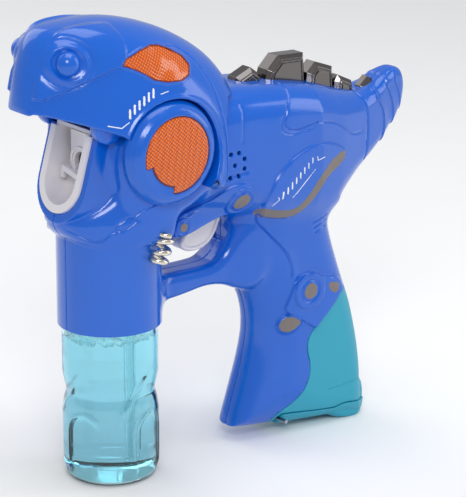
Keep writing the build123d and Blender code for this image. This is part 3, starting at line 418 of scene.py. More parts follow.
def add_painted_prism_shade(material, pale, dark, pitch):
    """Two slanting rows of dark lines of painted shade across a lens, standing in for the edges of small
    moulded prisms.
    """
    tree = material.node_tree
    shader = tree.nodes["Principled BSDF"]
    place = tree.nodes.new("ShaderNodeTexCoord")
    split = tree.nodes.new("ShaderNodeSeparateXYZ")
    tree.links.new(place.outputs["Object"], split.inputs["Vector"])
    lines = []
    for lean in (0.9, -1.1):
        slope = tree.nodes.new("ShaderNodeMath")
        slope.operation = "MULTIPLY_ADD"
        slope.inputs[1].default_value = lean
        wave = tree.nodes.new("ShaderNodeMath")
        wave.operation = "PINGPONG"
        wave.inputs[1].default_value = pitch * MM / 2
        tree.links.new(split.outputs["X"], slope.inputs[0])
        tree.links.new(split.outputs["Z"], slope.inputs[2])
        tree.links.new(slope.outputs["Value"], wave.inputs[0])
        lines.append(wave)
    nearest = tree.nodes.new("ShaderNodeMath")
    nearest.operation = "MINIMUM"
    for number, wave in enumerate(lines):
        tree.links.new(wave.outputs["Value"], nearest.inputs[number])
    share = tree.nodes.new("ShaderNodeMapRange")
    share.inputs["From Max"].default_value = 0.3 * pitch * MM
    tint = tree.nodes.new("ShaderNodeMix")
    tint.data_type = "RGBA"
    tint.inputs["A"].default_value = linear(dark)
    tint.inputs["B"].default_value = linear(pale)
    tree.links.new(nearest.outputs["Value"], share.inputs["Value"])
    tree.links.new(share.outputs["Result"], tint.inputs["Factor"])
    tree.links.new(tint.outputs["Result"], shader.inputs["Base Color"])


# painted shade: dark lines across the orange lenses for the edges of moulded prisms
add_painted_prism_shade(ORANGE_WITH_PRISM_SHADE, (250, 118, 10), (150, 50, 6), 1.9)
SLOT_MATERIAL = {
    "blue_shell": BLUE,
    "teal_shell": TEAL_PLASTIC,
    "orange_lens": ORANGE_WITH_PRISM_SHADE,
    "blue_trim": TRIM,
    "dark_chrome": CHROME_DARK,
    "chrome_trim": CHROME,
    "white_plastic": WHITE,
    "bottle_plastic": BOTTLE_PLASTIC,
    "solution": LIQUID,
    "inner_plastic": INNER,
    "gear_nylon": GEAR_NYLON,
    "steel": STEEL,
    "motor_can": CAN,
    "cell_wrap": CELL,
    "seal_rubber": RUBBER,
    "clear_pipe": PIPE,
    "board_green": BOARD,
    "speaker_black": PAPER,
    "wire_jacket": JACKET,
}


def dress_nodes():
    """Every CAD node that stays gets the material of its slot, and the visible ones softer edges."""
    for part in frame["record"]["subparts"]:
        node = frame["nodes"][part["node"]]
        node.data.materials.clear()
        node.data.materials.append(SLOT_MATERIAL[part["material_slot"]])
    for name in ("mouth_tray", "bubble_ring", "wiper_arm"):
        bevel = frame["nodes"][name].modifiers.new("soft_edges", "BEVEL")
        bevel.width = 0.35 * MM
        bevel.segments = 2
        bevel.limit_method = "ANGLE"
        bevel.harden_normals = True


# ---------------------------------------------------------------- casing
def mouth_place(x, z):
    """Height up the mouth's plane and depth behind it."""
    up = (MOUTH_HIGH - MOUTH_LOW) / np.linalg.norm(MOUTH_HIGH - MOUTH_LOW)
    from_x, from_z = x - MOUTH_LOW[0], z - MOUTH_LOW[1]
    return from_x * up[0] + from_z * up[1], from_x * up[1] - from_z * up[0]


def mouth_form(x, y, z, half, bottom, front, rear, top=41.0):
    """U-shaped block on the mouth's plane, round at the bottom and flat at the top."""
    up, deep = mouth_place(x, z)
    curve_z = bottom + half
    across = np.where(up < curve_z, np.hypot(y, up - curve_z) - half, np.abs(y) - half)
    return np.maximum(np.maximum(across, up - top), np.maximum(front - deep, deep - rear))


def torso_form(x, y, z):
    """Torso and tail: convex sides that narrow towards the tip."""
    side = region(curve(TORSO), x, z)
    half = lookup(x, TORSO_X, TORSO_HALF) - 0.0016 * (z - 158) ** 2
    edge = lookup(x, [60, 130, 150, 165, 184], [15, 13, 9, 5.5, 3.2])
    return pillow(side, y, half, edge)


def torso_relief(x, z):
    """Seams, raised wing, scales and vents on the torso's side."""
    relief = groove(path_distance(curve(PANEL_SEAM, False), x, z), 0.42, 0.75)
    outer = path_distance(curve([(px - 2.2, pz - 1.6) for px, pz in PANEL_SEAM[2:]], False), x, z)
    relief += groove(outer, 0.34, 0.45) * ramp(-z, -176, -166)
    relief += groove(path_distance(curve(PANEL_FADE, False), x, z), 0.5, 0.38)
    relief += raised(region(curve(WING), x, z), 1.1, 0.55)
    relief += groove(path_distance(curve([(50, 176), (49.4, 166), (49.6, 158)], False), x, z), 0.5, 0.5)
    relief += groove(path_distance(curve([(62, 180), (61, 170), (61, 163)], False), x, z), 0.6, 0.3)
    relief += groove(path_distance(curve(TAIL_SEAM, False), x, z), 0.7, 0.7)
    scales = [
        ([(158.5, 166), (163.4, 160.5), (165.6, 153.5), (165, 144)], 0.9),
        ([(167.5, 170), (171, 164.5), (173.2, 158), (173.4, 150)], 0.8),
        ([(174.6, 171), (177.4, 166), (179, 160.6), (179.6, 154)], 0.6),
    ]
    for points, height in scales:
        line = curve(points, False)
        away = path_distance(line, x, z)
        behind = x - lookup(z, line[::-1, 1], line[::-1, 0])
        fall = np.exp(-np.maximum(behind, 0) / 3.2) * ramp(behind, -0.45, 0.25)
        relief += height * fall * ramp(-away, -9, -2)
    for number in range(3):
        start, end = (112.6 + number * 0.8, 110.4 - number * 2.6), (122, 113.4 - number * 3)
        relief += groove(bar(x, z, start, end, 0), 0.45, 0.4)
    return relief


def grip_form(x, y, z):
    """Grip with its waist, swell and heel."""
    side = region(curve(GRIP, rounds=3), x, z)
    half = GRIP_HALF - 1.2 * np.exp(-(((z - 60) / 24) ** 2))
    depth = lookup(x, [70, 95, 118, 148], [32, 28, 15, 9])
    heel_side = region(curve([(140, -4), (151.5, 0.5), (151.8, 20), (140, 22), (118, 12)], rounds=2), x, z)
    heel = pillow(heel_side, y, GRIP_HALF - 3.5, 4)
    rim = 14.5
    a, b = (side + depth) * (rim / depth), np.abs(y) - half + rim
    body = np.minimum(np.maximum(a, b), 0) + np.hypot(np.maximum(a, 0), np.maximum(b, 0)) - rim
    return np.maximum(union(body, heel, 1.0), (HEEL_X - x) * SOLE_SLOPE - z + 0.2)


def grip_relief(x, z):
    """Seam, bosses and link on the grip's side."""
    seam = path_distance(curve(GRIP_SEAM, False), x, z)
    behind = x - lookup(z, [84, 97, 113, 128], [100.2, 96.9, 82.2, 76.2])
    relief = groove(seam, 0.45, 0.7)
    relief += 0.5 * ramp(-seam, -5, -0.6) * ramp(behind, 0, 1.2)
    relief += raised(region(curve(GRIP_LINK), x, z), 1.3, 0.5)
    relief += raised(np.hypot(x - GRIP_BOSS[0], z - GRIP_BOSS[1]) - 9.6, 1.0, 0.5)
    relief += groove(ring(x, z, GRIP_BOSS, 5.6), 0.6, 0.7)
    relief += raised(region(curve(GRIP_DIAMOND, rounds=1), x, z), 0.7, 0.35)
    relief += groove(path_distance(curve(GRIP_DIAMOND, rounds=1), x, z, closed=True), 0.5, 0.6)
    return relief


def front_form(x, y, z):
    """Collar, guard, receiver, cheek and chin: everything below the head and before the torso."""
    collar = np.maximum(np.hypot(x, y) - COLLAR_R, COLLAR_Z[0] - z)
    collar = np.maximum(collar, z - 130)
    guard_half = GUARD_HALF + 3.2 * ramp(x, 62, 84) + 3 * ramp(-x, -26, -16)
    guard = pillow(region(curve(GUARD), x, z), y, guard_half, 5.2)
    receiver = pillow(region(curve(RECEIVER), x, z), y, RECEIVER_HALF, 5)
    cheek = pillow(np.hypot(x - CHEEK[0] - 4, z - 162) - 29, y, 28.6, 6)
    lean = 0.15 * np.maximum(z - 134, 0)
    chin = overlap(region(curve(CHIN), x, z), region(curve(CHIN_PLAN), x, y) + lean, 7)
    wall = mouth_form(x, y, z, 19.2, -4.6, -0.9, 44)
    front = union(union(collar, chin, 1.0), wall, 1.0)
    front = union(front, cheek, 5)
    return union(union(front, receiver, 3), guard, 7)


def front_relief(x, z):
    """Link arm, bosses and engraved lines before the torso."""
    relief = raised(region(curve(ARM), x, z), 1.5, 0.5)
    relief += raised(np.hypot(x - LINK_BOSS[0], z - LINK_BOSS[1]) - 7.4, 1.2, 0.5)
    relief += groove(ring(x, z, LINK_BOSS, 5.2), 0.6, 0.9)
    relief += raised(np.hypot(x - LINK_PIN[0], z - LINK_PIN[1]) - 4.4, 1.0, 0.4)
    relief += groove(ring(x, z, LINK_PIN, 3.2), 0.45, 0.6)
    for lift in (0.0, 2.6):
        relief += raised(bar(x, z, (33.5, 128 + lift), (39.5, 130.8 + lift), 0.5), 0.7, 0.4)
    relief += groove(path_distance(curve([(43, 143), (53, 147), (64, 147.6)], False), x, z), 0.6, 0.6)
    relief += groove(path_distance(curve(JAW_PANEL, False, 1), x, z), 0.42, 0.5)
    relief += groove(path_distance(curve(JAW_SLOT, rounds=1), x, z, closed=True), 0.4, 0.5)
    relief += groove(path_distance(curve(JAW_LINE, False, 1), x, z), 0.42, 0.5)
    return relief


def casing_form(x, y, z):
    """Outside of the whole lower casing."""
    body = union(torso_form(x, y, z), grip_form(x, y, z), 9)
    body = union(body, front_form(x, y, z), 5)
    lower = ramp(-z, -136, -120)
    relief = torso_relief(x, z) + grip_relief(x, z) + front_relief(x, z)
    away = ramp(np.abs(y), 6 * (1 - lower), 12 * (1 - lower) + 0.1)
    return body - relief * np.maximum(away, ramp(x, 140, 150))


def casing_shell(x, y, z):
    """Wall of the lower casing with the openings that both halves share."""
    outside = casing_form(x, y, z)
    shell = np.maximum(outside, -(outside + WALL))
    rooms = [
        np.maximum(np.hypot(x, y) - COLLAR_R + 1.4, z - 99.5),
        mouth_form(x, y, z, 13.9, 2.0, -9, 14, 48),
        mouth_form(x, y, z, 16.3, -0.3, -9, -0.7, 48),
        np.maximum(np.maximum(np.abs(x - 53.6) - 14.1, np.abs(y) - 5.6), np.abs(z - 120) - 13),
        region(curve(TEAL), x, z) - 0.12,
    ]
    for room in rooms:
        shell = np.maximum(shell, -room)
    return shell


def half_casing(holes):
    """Field of one half, with its own holes, from the split outwards."""

    def field(x, y, z):
        shell = overlap(casing_shell(x, y, z), y + SEAM, 0.3)
        for hole in holes:
            shell = np.maximum(shell, -hole(x, y, z))
        return shell

    return field


def speaker_hole(angle, radius):
    """Round hole of the speaker's grille, on the left side only."""
    cx, cz = SPEAKER[0] + radius * math.cos(angle), SPEAKER[1] + radius * math.sin(angle)
    return lambda x, y, z: np.maximum(np.hypot(x - cx, z - cz) - SPEAKER_HOLE_R, y + 20)


def screw_well(place):
    """Round well over a casing screw, on the right side only."""
    return lambda x, y, z: np.maximum(np.hypot(x - place[0], z - place[1]) - WELL_R, y + 9)


def make_casing():
    low, high = (-38, -33, -1), (190, 0.6, 192)
    vents = [speaker_hole(0, 0)]
    vents += [speaker_hole(math.tau * (turn + 0.5) / 8, SPEAKER_RING_R) for turn in range(8)]
    left = solid("shell_left", half_casing(vents), low, high, STEP)
    finish(left, BLUE, "blue_shell", "casing", "housing_left")
    wells = [screw_well(place) for place in SCREWS]
    right = solid("shell_right", half_casing(wells), low, high, STEP, flip=True)
    finish(right, BLUE, "blue_shell", "casing", "housing_right")


# ---------------------------------------------------------------- teal grip cover and door
def door_seam(x, z):
    """Height above the seam between the grip cover and the battery door."""
    return z - (HEEL_X - x) * SOLE_SLOPE - 6.4 - 2.2 * ramp(x, 128, 136)


def teal_form(x, y, z):
    """Outside of the teal part of the grip."""
    heel_line = curve([(124, 19.2), (133, 19.4), (149, 21)], False, 1)
    return grip_form(x, y, z) - groove(path_distance(heel_line, x, z), 0.45, 0.5)


def cover_field(x, y, z):
    """Wall of the teal cover above the door's seam."""
    outside = teal_form(x, y, z)
    shell = np.maximum(outside, -(outside + WALL))
    shell = np.maximum(shell, region(curve(TEAL), x, z) + 0.12)
    return np.maximum(shell, 0.2 - door_seam(x, z))


def door_field(x, y, z):
    """Battery door: it stands a little proud of the sole and has a slot for a fingernail."""
    outside = teal_form(x, y, z) - 0.55 * ramp(x, 92, 96)
    shell = np.maximum(outside, -(outside + WALL + 0.5))
    shell = np.maximum(shell, 98.4 - x)
    shell = np.maximum(shell, door_seam(x, z) + 0.15)
    latch = np.maximum(np.abs(x - 124) - 5.4, np.maximum(np.abs(z - 11.9 + (x - 124) * 0.03) - 1.2, y + 8))
    return np.maximum(shell, -latch)


def toe_field(x, y, z):
    """Front edge of the sole, before the door."""
    outside = teal_form(x, y, z)
    shell = np.maximum(outside, -(outside + WALL))
    shell = np.maximum(shell, region(curve(TEAL), x, z) + 0.12)
    knuckle = np.hypot(x - HINGE[0], z - HINGE[1]) - KNUCKLE_R
    return np.maximum(np.maximum(np.maximum(shell, x - 98.2), door_seam(x, z)), -knuckle)


def cover_and_toe(x, y, z):
    return np.minimum(cover_field(x, y, z), toe_field(x, y, z))


def make_teal():
    low, high = (88, -18.5, -1), (156, 18.5, 74)
    cover = solid("teal_cover", cover_and_toe, low, high, STEP * 0.8)
    finish(cover, TEAL_PLASTIC, "teal_shell", "casing", "grip_cover")
    door = solid("teal_door", door_field, (96, -19, -1), (156, 19, 20), STEP * 0.7)
    finish(door, TEAL_PLASTIC, "teal_shell", "door_body", "battery_door")


# ---------------------------------------------------------------- head
def head_form(x, y, z):
    """Outside of the upper head: a crown over sides that lean in, with a soft brow between them."""
    plan = region(curve(HEAD_PLAN), x, y)
    sides = plan + 0.17 * (z - 184) + 0.0016 * np.maximum(z - 200, 0) ** 2
    dome = 7.5 * (np.abs(y) / 22) ** 2.2 * lookup(x, [-50, -30, 20, 60], [0.8, 1.0, 1.15, 1.5])
    crown = region(curve(CROWN), x, z + dome) * 0.93
    return overlap(crown, sides, 6.5)


def head_relief(x, y, z):
    """Chevron, eye sockets, brow line, seams and lamp seats."""
    mask_line = curve(CHEVRON, False, 2)
    mask = curve([*CHEVRON, (-4, 222), (-10, 240), (-70, 240), (-70, 209)], rounds=2)
    fade = ramp(-x, -2, 22)
    relief = raised(region(mask, x, z), 1.5, 0.5) * fade
    relief += groove(path_distance(mask_line, x, z) + 0.9, 1.0, 0.4) * ramp(-x, 0, 8)
    eye = np.hypot(x - EYE[0], z - EYE[1])
    relief += groove(eye - 10.4, 2.2, 0.8) + 1.2 * np.exp(-(((eye - 8.2) / 1.5) ** 2))
    relief += groove(path_distance(curve(NECK_SEAM, False), x, z), 0.5, 0.7)
    relief += raised(region(curve(BROW_LENS, rounds=1), x, z) - 1.2, 0.35, 0.4)
    seat = np.hypot(x - CHEEK[0] - 0.8, z - CHEEK[1] + 0.4)
    relief += 0.9 * np.exp(-(((seat - 27.4) / 1.2) ** 2))
    return relief * ramp(np.abs(y), 8, 12)


def head_outside(x, y, z):
    return head_form(x, y, z) - head_relief(x, y, z)


def lobes(x, y, z):
    """Rounded lobes that hang under the lip, one on each side."""
    return pillow(np.hypot(x + 15.6, z - 182.4) - 8.2, np.abs(y) - 21.8, 3.4, 1.8)


def head_field(x, y, z):
    """Wall of the upper head, cut back from the casing, the mouth and the lamps."""
    outside = head_outside(x, y, z)
    zone = region(curve(LIP, rounds=1), x, z)
    shell = overlap(outside, zone, 0.9)
    lamp = np.hypot(x - CHEEK[0], z - CHEEK[1])
    shell = np.maximum(shell, -np.maximum(np.maximum(outside + WALL, zone + WALL), BEZEL_R + 3 - lamp))
    shell = np.minimum(shell, np.maximum(lobes(x, y, z), outside + 0.5))
    shell = np.maximum(shell, -(front_form(x, y, z) - 0.25))
    shell = np.maximum(shell, -(torso_form(x, y, z) - 0.25))
    shell = np.maximum(shell, -mouth_form(x, y, z, 14.2, 2.0, -4, 14, 43))
    shell = np.maximum(shell, -np.maximum(lamp - BEZEL_R - 0.6, 20 - np.abs(y)))
    brow = np.maximum(region(curve(BROW_LENS, rounds=1), x, z) - 0.25, 12 - np.abs(y))
    return np.maximum(shell, -np.maximum(brow, -(outside + 1.6)))


def make_head():
    cover = solid("head_shell", head_field, (-56, -38.5, 138), (68, 38.5, 233), STEP)
    finish(cover, BLUE, "blue_shell", "casing", "head_cover")
    for side, name in ((-1, "left"), (1, "right")):
        eye = solid(
            f"eye_{name}",
            lambda x, y, z: np.hypot(np.hypot(x - EYE[0], z - EYE[1]), (y + 18.2) * 1.1) - EYE_R,
            (-42, -25, 207), (-27, -12, 222), FINE, flip=side > 0,
        )
        finish(eye, BLUE, "blue_shell", "casing")


# ---------------------------------------------------------------- lamps
def lens_outline(x, z):
    """Round lens with a stepped bite out of its lower front."""
    px, pz = x - CHEEK[0], z - CHEEK[1]
    radius, angle = np.hypot(px, pz), np.degrees(np.arctan2(pz, px)) % 360
    bitten = (angle > 193) & (angle < 262)
    return np.where(bitten, np.maximum(radius - 14.6, radius - LENS_R), radius - LENS_R)


def lens_field(x, y, z):
    """Ribbed lens: fine slanting ribs behind a smooth crowned face."""
    px, pz = x - CHEEK[0], z - CHEEK[1]
    crown = LENS_FACE_Y - 0.7 - 0.0052 * (px * px + pz * pz)
    along, across = px * 0.84 + pz * 0.54, pz * 0.84 - px * 0.54
    ribs = 0.34 * np.abs(np.sin(across * math.pi / 1.75)) - 0.16 * (np.abs(np.mod(along, 2.4) - 1.2) < 0.18)
    face = -y - crown - ribs * ramp(-lens_outline(x, z), 0.5, 1.2)
    return np.maximum(np.maximum(lens_outline(x, z) * 0.9, face), y + 30)


def lens_rim_shade_field(x, y, z):
    """Dark line of painted shade round the lens, where it meets its frame."""
    px, pz = x - CHEEK[0], z - CHEEK[1]
    crown = LENS_FACE_Y - 0.95 - 0.0052 * (px * px + pz * pz)
    return np.maximum(np.maximum(np.abs(lens_outline(x, z) - 0.25) - 0.4, -y - crown), y + 31)


def bezel_field(x, y, z):
    """Convex frame of the lamp with a flat seat under the bite."""
    radius = np.hypot(x - CHEEK[0], z - CHEEK[1])
    reach = [0, 14.4, 18.4, 19.6, 21.5, 23.6, 25, 25.6]
    face = lookup(radius, reach, [37.4, 37.4, 37.8, 37.9, 37.2, 35.4, 33, 31])
    disc = np.maximum(radius - BEZEL_R, (-y - face) * 0.8)
    return np.maximum(np.maximum(disc, y + 28.6), -np.maximum(lens_outline(x, z) - 0.5, 33 - np.abs(y)))


def brow_field(x, y, z):
    """Lens of the brow, flush with the head, with fine ribs and a few facets."""
    outside = head_form(x, y, z) + 0.15
    ribs = 0.16 * np.sin((x * 0.5 + z * 0.87) * math.pi / 0.8) * ramp(-x, -14, -6)
    facets = 0.3 * np.abs(np.mod(x * 0.75 - z * 0.66, 9) - 4.5) / 4.5 * ramp(x, 4, 8)
    shell = np.maximum(outside + ribs + facets - 0.1, -(outside + 2.0))
    return np.maximum(shell, np.maximum(region(curve(BROW_LENS, rounds=1), x, z) + 0.1, y + 12))


# dark line of painted shade round the brow lens, where it meets the head
def brow_rim_shade_field(x, y, z):
    outside = head_form(x, y, z) - 0.2
    edge = np.abs(region(curve(BROW_LENS, rounds=1), x, z) - 0.1) - 0.3
    return np.maximum(np.maximum(np.maximum(outside, -(outside + 1.6)), edge), y + 12)


def make_lamps():
    x, z = CHEEK
    low, high = (x - 27, -41, z - 27), (x + 27, -27, z + 27)
    brow_low, brow_high = (-14, -36, 198), (32, -12, 221)
    for flip, side in ((False, "left"), (True, "right")):
        bezel = solid(f"lamp_frame_{side}", bezel_field, low, high, STEP * 0.8, flip)
        finish(bezel, TRIM, "blue_trim", "casing", f"cheek_bezel_{side}")
        lens = solid(f"lamp_lens_{side}", lens_field, low, high, FINE * 1.2, flip, 0.0)
        finish(lens, ORANGE_WITH_PRISM_SHADE, "orange_lens", "casing", f"cheek_lens_{side}")
        # dark ring of painted shade where the lens meets its frame
        rim = solid(f"lamp_rim_shade_{side}", lens_rim_shade_field, low, high, FINE, flip)
        finish(rim, LENS_EDGE_SHADE, "orange_lens", "casing")
        brow = solid(f"brow_lamp_{side}", brow_field, brow_low, brow_high, FINE * 1.2, flip)
        finish(brow, ORANGE_WITH_PRISM_SHADE, "orange_lens", "casing", f"brow_lens_{side}")
        # dark line of painted shade round the brow lens
        brow_rim_shade = solid(f"brow_rim_shade_{side}", brow_rim_shade_field, brow_low, brow_high, FINE * 1.2, flip)
        finish(brow_rim_shade, LENS_EDGE_SHADE, "orange_lens", "casing")


# ---------------------------------------------------------------- back plates
def plate_field(number):
    """Field of one back plate: bevelled block, stepped field and an engraved line round it."""
    corners = np.array(PLATES[number], float)
    half = PLATE_HALF[number]

    def field(x, y, z):
        side = region(corners, x, z)
        across = np.abs(y) - half
        block = np.maximum(np.maximum(side, across), (side + across + 1.9) * 0.707)
        inner = side + 2.4
        step = np.maximum(np.maximum(inner, across - 0.7), (inner + across - 0.2) * 0.707)
        line = np.abs(side + 3.4) - 0.35
        cut = np.maximum(line, 0.15 - across)
        return np.maximum(np.minimum(block, step), -cut)

    return field


def make_plates():
    for number, corners in enumerate(PLATES):
        half = PLATE_HALF[number]
        low = (min(x for x, _ in corners) - 1, -half - 2, min(z for _, z in corners) - 1)
        high = (max(x for x, _ in corners) + 1, half + 2, max(z for _, z in corners) + 1)
        plate = solid(f"back_plate_{number + 1}", plate_field(number), low, high, FINE, detail=0.0)
        finish(plate, CHROME_DARK, "dark_chrome", "casing", f"spine_plate_{number + 1}")


# ---------------------------------------------------------------- paint
def dots(x, z):
    """Silver dots of the two link bosses and the grip's boss."""
    spots = ((LINK_BOSS, 4.2), (LINK_PIN, 2.3), (GRIP_BOSS, 4.2))
    marks = [np.hypot(x - centre[0], z - centre[1]) - radius for centre, radius in spots]
    return np.minimum.reduce(marks)


def grey_marks(x, z):
    patches = [region(curve(WING_BAND, rounds=1), x, z), region(curve(GRIP_DIAMOND, rounds=1), x, z) + 0.7]
    patches.append(region(curve(GRIP_PATCH, rounds=1), x, z))
    return np.minimum(np.minimum.reduce(patches), dots(x, z))


def wing_marks(x, z):
    """White line with slanting ticks, in place of lettering."""
    marks = [bar(x, z, (92.3, 129.3), (106.6, 141.4), 0.28), bar(x, z, (81.6, 126.4), (84.4, 129.4), 0.3)]
    marks += [bar(x, z, (84.4, 129.4), (83.4, 131), 0.3), bar(x, z, (107.6, 147.6), (108, 145.6), 0.3)]
    marks.append(bar(x, z, (108, 145.6), (112.6, 146.4), 0.3))
    for turn in range(8):
        px, pz = 86.2 + 2.62 * turn, 130 + 2.14 * turn
        marks.append(bar(x, z, (px, pz), (px - 0.2, pz + 3.2 - 0.1 * turn), 0.55 - 0.02 * turn))
    return np.minimum.reduce(marks)


def head_marks(x, z):
    """White line with slanting ticks on the head's side."""
    marks = [bar(x, z, (-19.7, 184.6), (-13.3, 182.9), 0.32)]
    marks.append(bar(x, z, (-13.3, 182.9), (-9.4, 185.2), 0.32))
    marks.append(bar(x, z, (7.6, 196.4), (11.8, 197.2), 0.32))
    for turn in range(6):
        px, pz = -8.8 + 2.5 * turn, 187.2 + 1.9 * turn - 0.05 * turn * turn
        marks.append(bar(x, z, (px, pz), (px + 0.4, pz + 3.6), 0.6))
    return np.minimum.reduce(marks)


def printed(outside, marks, inner_y):
    """Thin layer of paint that follows the surface it is printed on."""

    def field(x, y, z):
        surface = outside(x, y, z)
        layer = np.maximum(surface - PAINT, -(surface + 0.3))
        return np.maximum(np.maximum(layer, marks(x, z)), y + inner_y)

    return field


def make_paint():
    for flip, side in ((False, "left"), (True, "right")):
        low, high = (26, -31, 52), (136, -8, 150)
        paint = printed(casing_form, grey_marks, 8)
        grey = solid(f"grey_marks_{side}", paint, low, high, STEP * 0.75, flip)
        finish(grey, GREY_PAINT, "dark_chrome", "casing")
        low, high = (79, -30, 124), (115, -14, 151)
        paint = printed(casing_form, wing_marks, 10)
        wing = solid(f"wing_marks_{side}", paint, low, high, FINE * 1.3, flip)
        finish(wing, WHITE_PAINT, "white_plastic", "casing")
        low, high = (-21, -38, 181), (14, -22, 202)
        paint = printed(head_outside, head_marks, 10)
        face = solid(f"head_marks_{side}", paint, low, high, FINE * 1.3, flip)
        finish(face, WHITE_PAINT, "white_plastic", "casing")


# ---------------------------------------------------------------- springs and trigger
def coil(name, start, end, radius, wire_r, turns, closed_turns=0.75):
    """Wire coil between two points, in drawing millimetres, with closed ends."""
    start, end = Vector(start), Vector(end)
    axis = end - start
    turn_frame = axis.to_track_quat("Z", "Y").to_matrix()
    points = []
    count = int(turns * 28)
    for number in range(count + 1):
        share = number / count
        angle = math.tau * turns * share
        pinch = closed_turns / turns
        rise = np.interp(share, [0, pinch, 1 - pinch, 1], [0, pinch * 0.5, 1 - pinch * 0.5, 1])
        local = Vector((radius * math.cos(angle), radius * math.sin(angle), rise * axis.length))
        points.append(start + turn_frame @ local)
    verts, faces, normals = [], [], []
    sides = 12
    for number, point in enumerate(points):
        ahead = points[min(number + 1, count)] - points[max(number - 1, 0)]
        spin = ahead.to_track_quat("Z", "Y").to_matrix()
        for turn in range(sides):
            angle = math.tau * turn / sides
            out = spin @ Vector((math.cos(angle), math.sin(angle), 0))
            verts.append(list(point + out * wire_r))
            normals.append(list(out))
    for number in range(count):
        for turn in range(sides):
            a, b = number * sides + turn, number * sides + (turn + 1) % sides
            faces.append([a, b, b + sides, a + sides])
    faces += [list(range(sides)), list(range(count * sides, (count + 1) * sides))]
    return shell_mesh(name, np.array(verts), faces, np.array(normals))


def make_springs():
    for sign, side in ((-1, "left"), (1, "right")):
        y = sign * 26.4
        spring = coil(f"shock_coil_{side}", (9.6, y, 112.4), (14.4, y, 125.4), 3.8, 1.4, 3.5)
        finish(spring, CHROME, "chrome_trim", "casing", f"shock_spring_{side}")
    low, high = (np.array(corner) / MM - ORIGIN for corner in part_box("trigger_spring"))
    height = (low[2] + high[2]) / 2
    spring = coil("return_coil", (low[0] + 0.3, 0, height), (high[0] - 0.3, 0, height), 2.0, 0.35, 9)
    finish(spring, STEEL, "steel", "casing", "trigger_spring")
    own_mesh(spring)


TRIGGER = [
    (48, 121), (42, 114.5), (38.4, 109.5), (43.5, 105.2), (53, 105), (60, 109.5), (64, 118),
    (66, 124), (65.5, 133), (55, 133),
]


def trigger_field(x, y, z):
    """Finger blade with a raised border round a sunken panel, its pivot boss and its lever and peg."""
    side = region(curve(TRIGGER, rounds=2), x, z)
    blade = pillow(side, y, 5.0, 1.5)
    panel = raised(side + 2.2, 0.9, 0.4) * ramp(-z, -125, -121)
    blade = blade + panel * ramp(np.abs(y), 3.6, 4.2)
    pin_x, pin_z = 60.0, 129.0
    lean = math.radians(7.5)
    u = (x - pin_x) * math.cos(lean) - (z - pin_z) * math.sin(lean)
    v = (x - pin_x) * math.sin(lean) + (z - pin_z) * math.cos(lean)
    lever = np.maximum(np.maximum(np.abs(u) - 2.4, np.abs(y) - 3), np.abs(v - 9) - 9)
    peg_x, peg_z = pin_x + 16 * math.sin(lean), pin_z + 16 * math.cos(lean)
    peg = np.maximum(np.hypot(x - peg_x, z - peg_z) - 1.2, np.abs(y + 4.35) - 12.3)
    whole = np.minimum(np.minimum(blade, lever), peg)
    return np.maximum(whole, -(np.hypot(x - pin_x, z - pin_z) - 1.55))


def make_trigger():
    trigger = solid("trigger_blade", trigger_field, (36, -18, 103), (69, 9, 150), FINE * 1.3)
    finish(trigger, WHITE, "white_plastic", "trigger_body", "trigger")


# ---------------------------------------------------------------- bottle
BOTTLE_PROFILE = [
    (0, 19.0), (1.2, 20.8), (3.4, 22.4), (7, 23.2), (14, 23.5), (34, 23.5), (40, 22.6), (44.5, 21.4),
    (49, 22.5), (54, 23.4), (80, 23.4), (83.4, 21.6), (86, 15.2), (88, 14.0), (100, 14.0),
]


def bottle_radius(angle, z):
    """Radius of the bottle with its waist, moulded arches and slanting flutes."""
    radius = np.interp(z, [p[0] for p in BOTTLE_PROFILE], [p[1] for p in BOTTLE_PROFILE])
    relief = np.zeros_like(angle)
    for turn in range(4):
        around = (angle - math.radians(20 + 90 * turn) + math.pi) % math.tau - math.pi
        across = around * 23.5
        arch = np.hypot(across, np.maximum(z - 26, 0)) - 9.5
        relief = relief - 0.9 * ramp(-arch, -0.8, 0.8) * ramp(z, 4, 8)
        relief = relief + 0.5 * np.exp(-((arch / 1.1) ** 2)) * ramp(z, 4, 8)
        slant = across + 10 - (z - 46) * 0.75
        relief = relief + 0.55 * np.exp(-((slant / 2.2) ** 2)) * ramp(z, 34, 40) * ramp(-z, -62, -54)
    return radius + relief * ramp(-z, -78, -70)


def turned_skin(heights, inset, around=144):
    """Points, faces and normals of the bottle's form, moved in by inset, closed at its first height."""
    angles = np.linspace(0, math.tau, around, endpoint=False)
    grid_z, grid_a = np.meshgrid(heights, angles, indexing="ij")
    radius = bottle_radius(grid_a, grid_z) - inset
    points = np.stack([radius * np.cos(grid_a), radius * np.sin(grid_a), grid_z], axis=-1)
    down = np.gradient(points, axis=0)
    turn = (np.roll(points, -1, axis=1) - np.roll(points, 1, axis=1)) / 2
    normals = np.cross(turn, down)
    normals /= np.linalg.norm(normals, axis=-1, keepdims=True) + 1e-12
    faces = []
    for row in range(len(heights) - 1):
        low, high = row * around, (row + 1) * around
        for col in range(around):
            nxt = (col + 1) % around
            faces.append([low + col, low + nxt, high + nxt, high + col])
    return points.reshape(-1, 3), faces, normals.reshape(-1, 3)


def capped(points, faces, normals, row, around, up, height=None):
    """Closes a skin with a fan at its row, at its own height or another."""
    centre = points[row * around : (row + 1) * around].mean(axis=0)
    if height is not None:
        centre[2] = height
    points = np.vstack([points, centre])
    normals = np.vstack([normals, [0, 0, up]])
    for col in range(around):
        faces.append([row * around + col, row * around + (col + 1) % around, len(points) - 1])
    return points, faces, normals


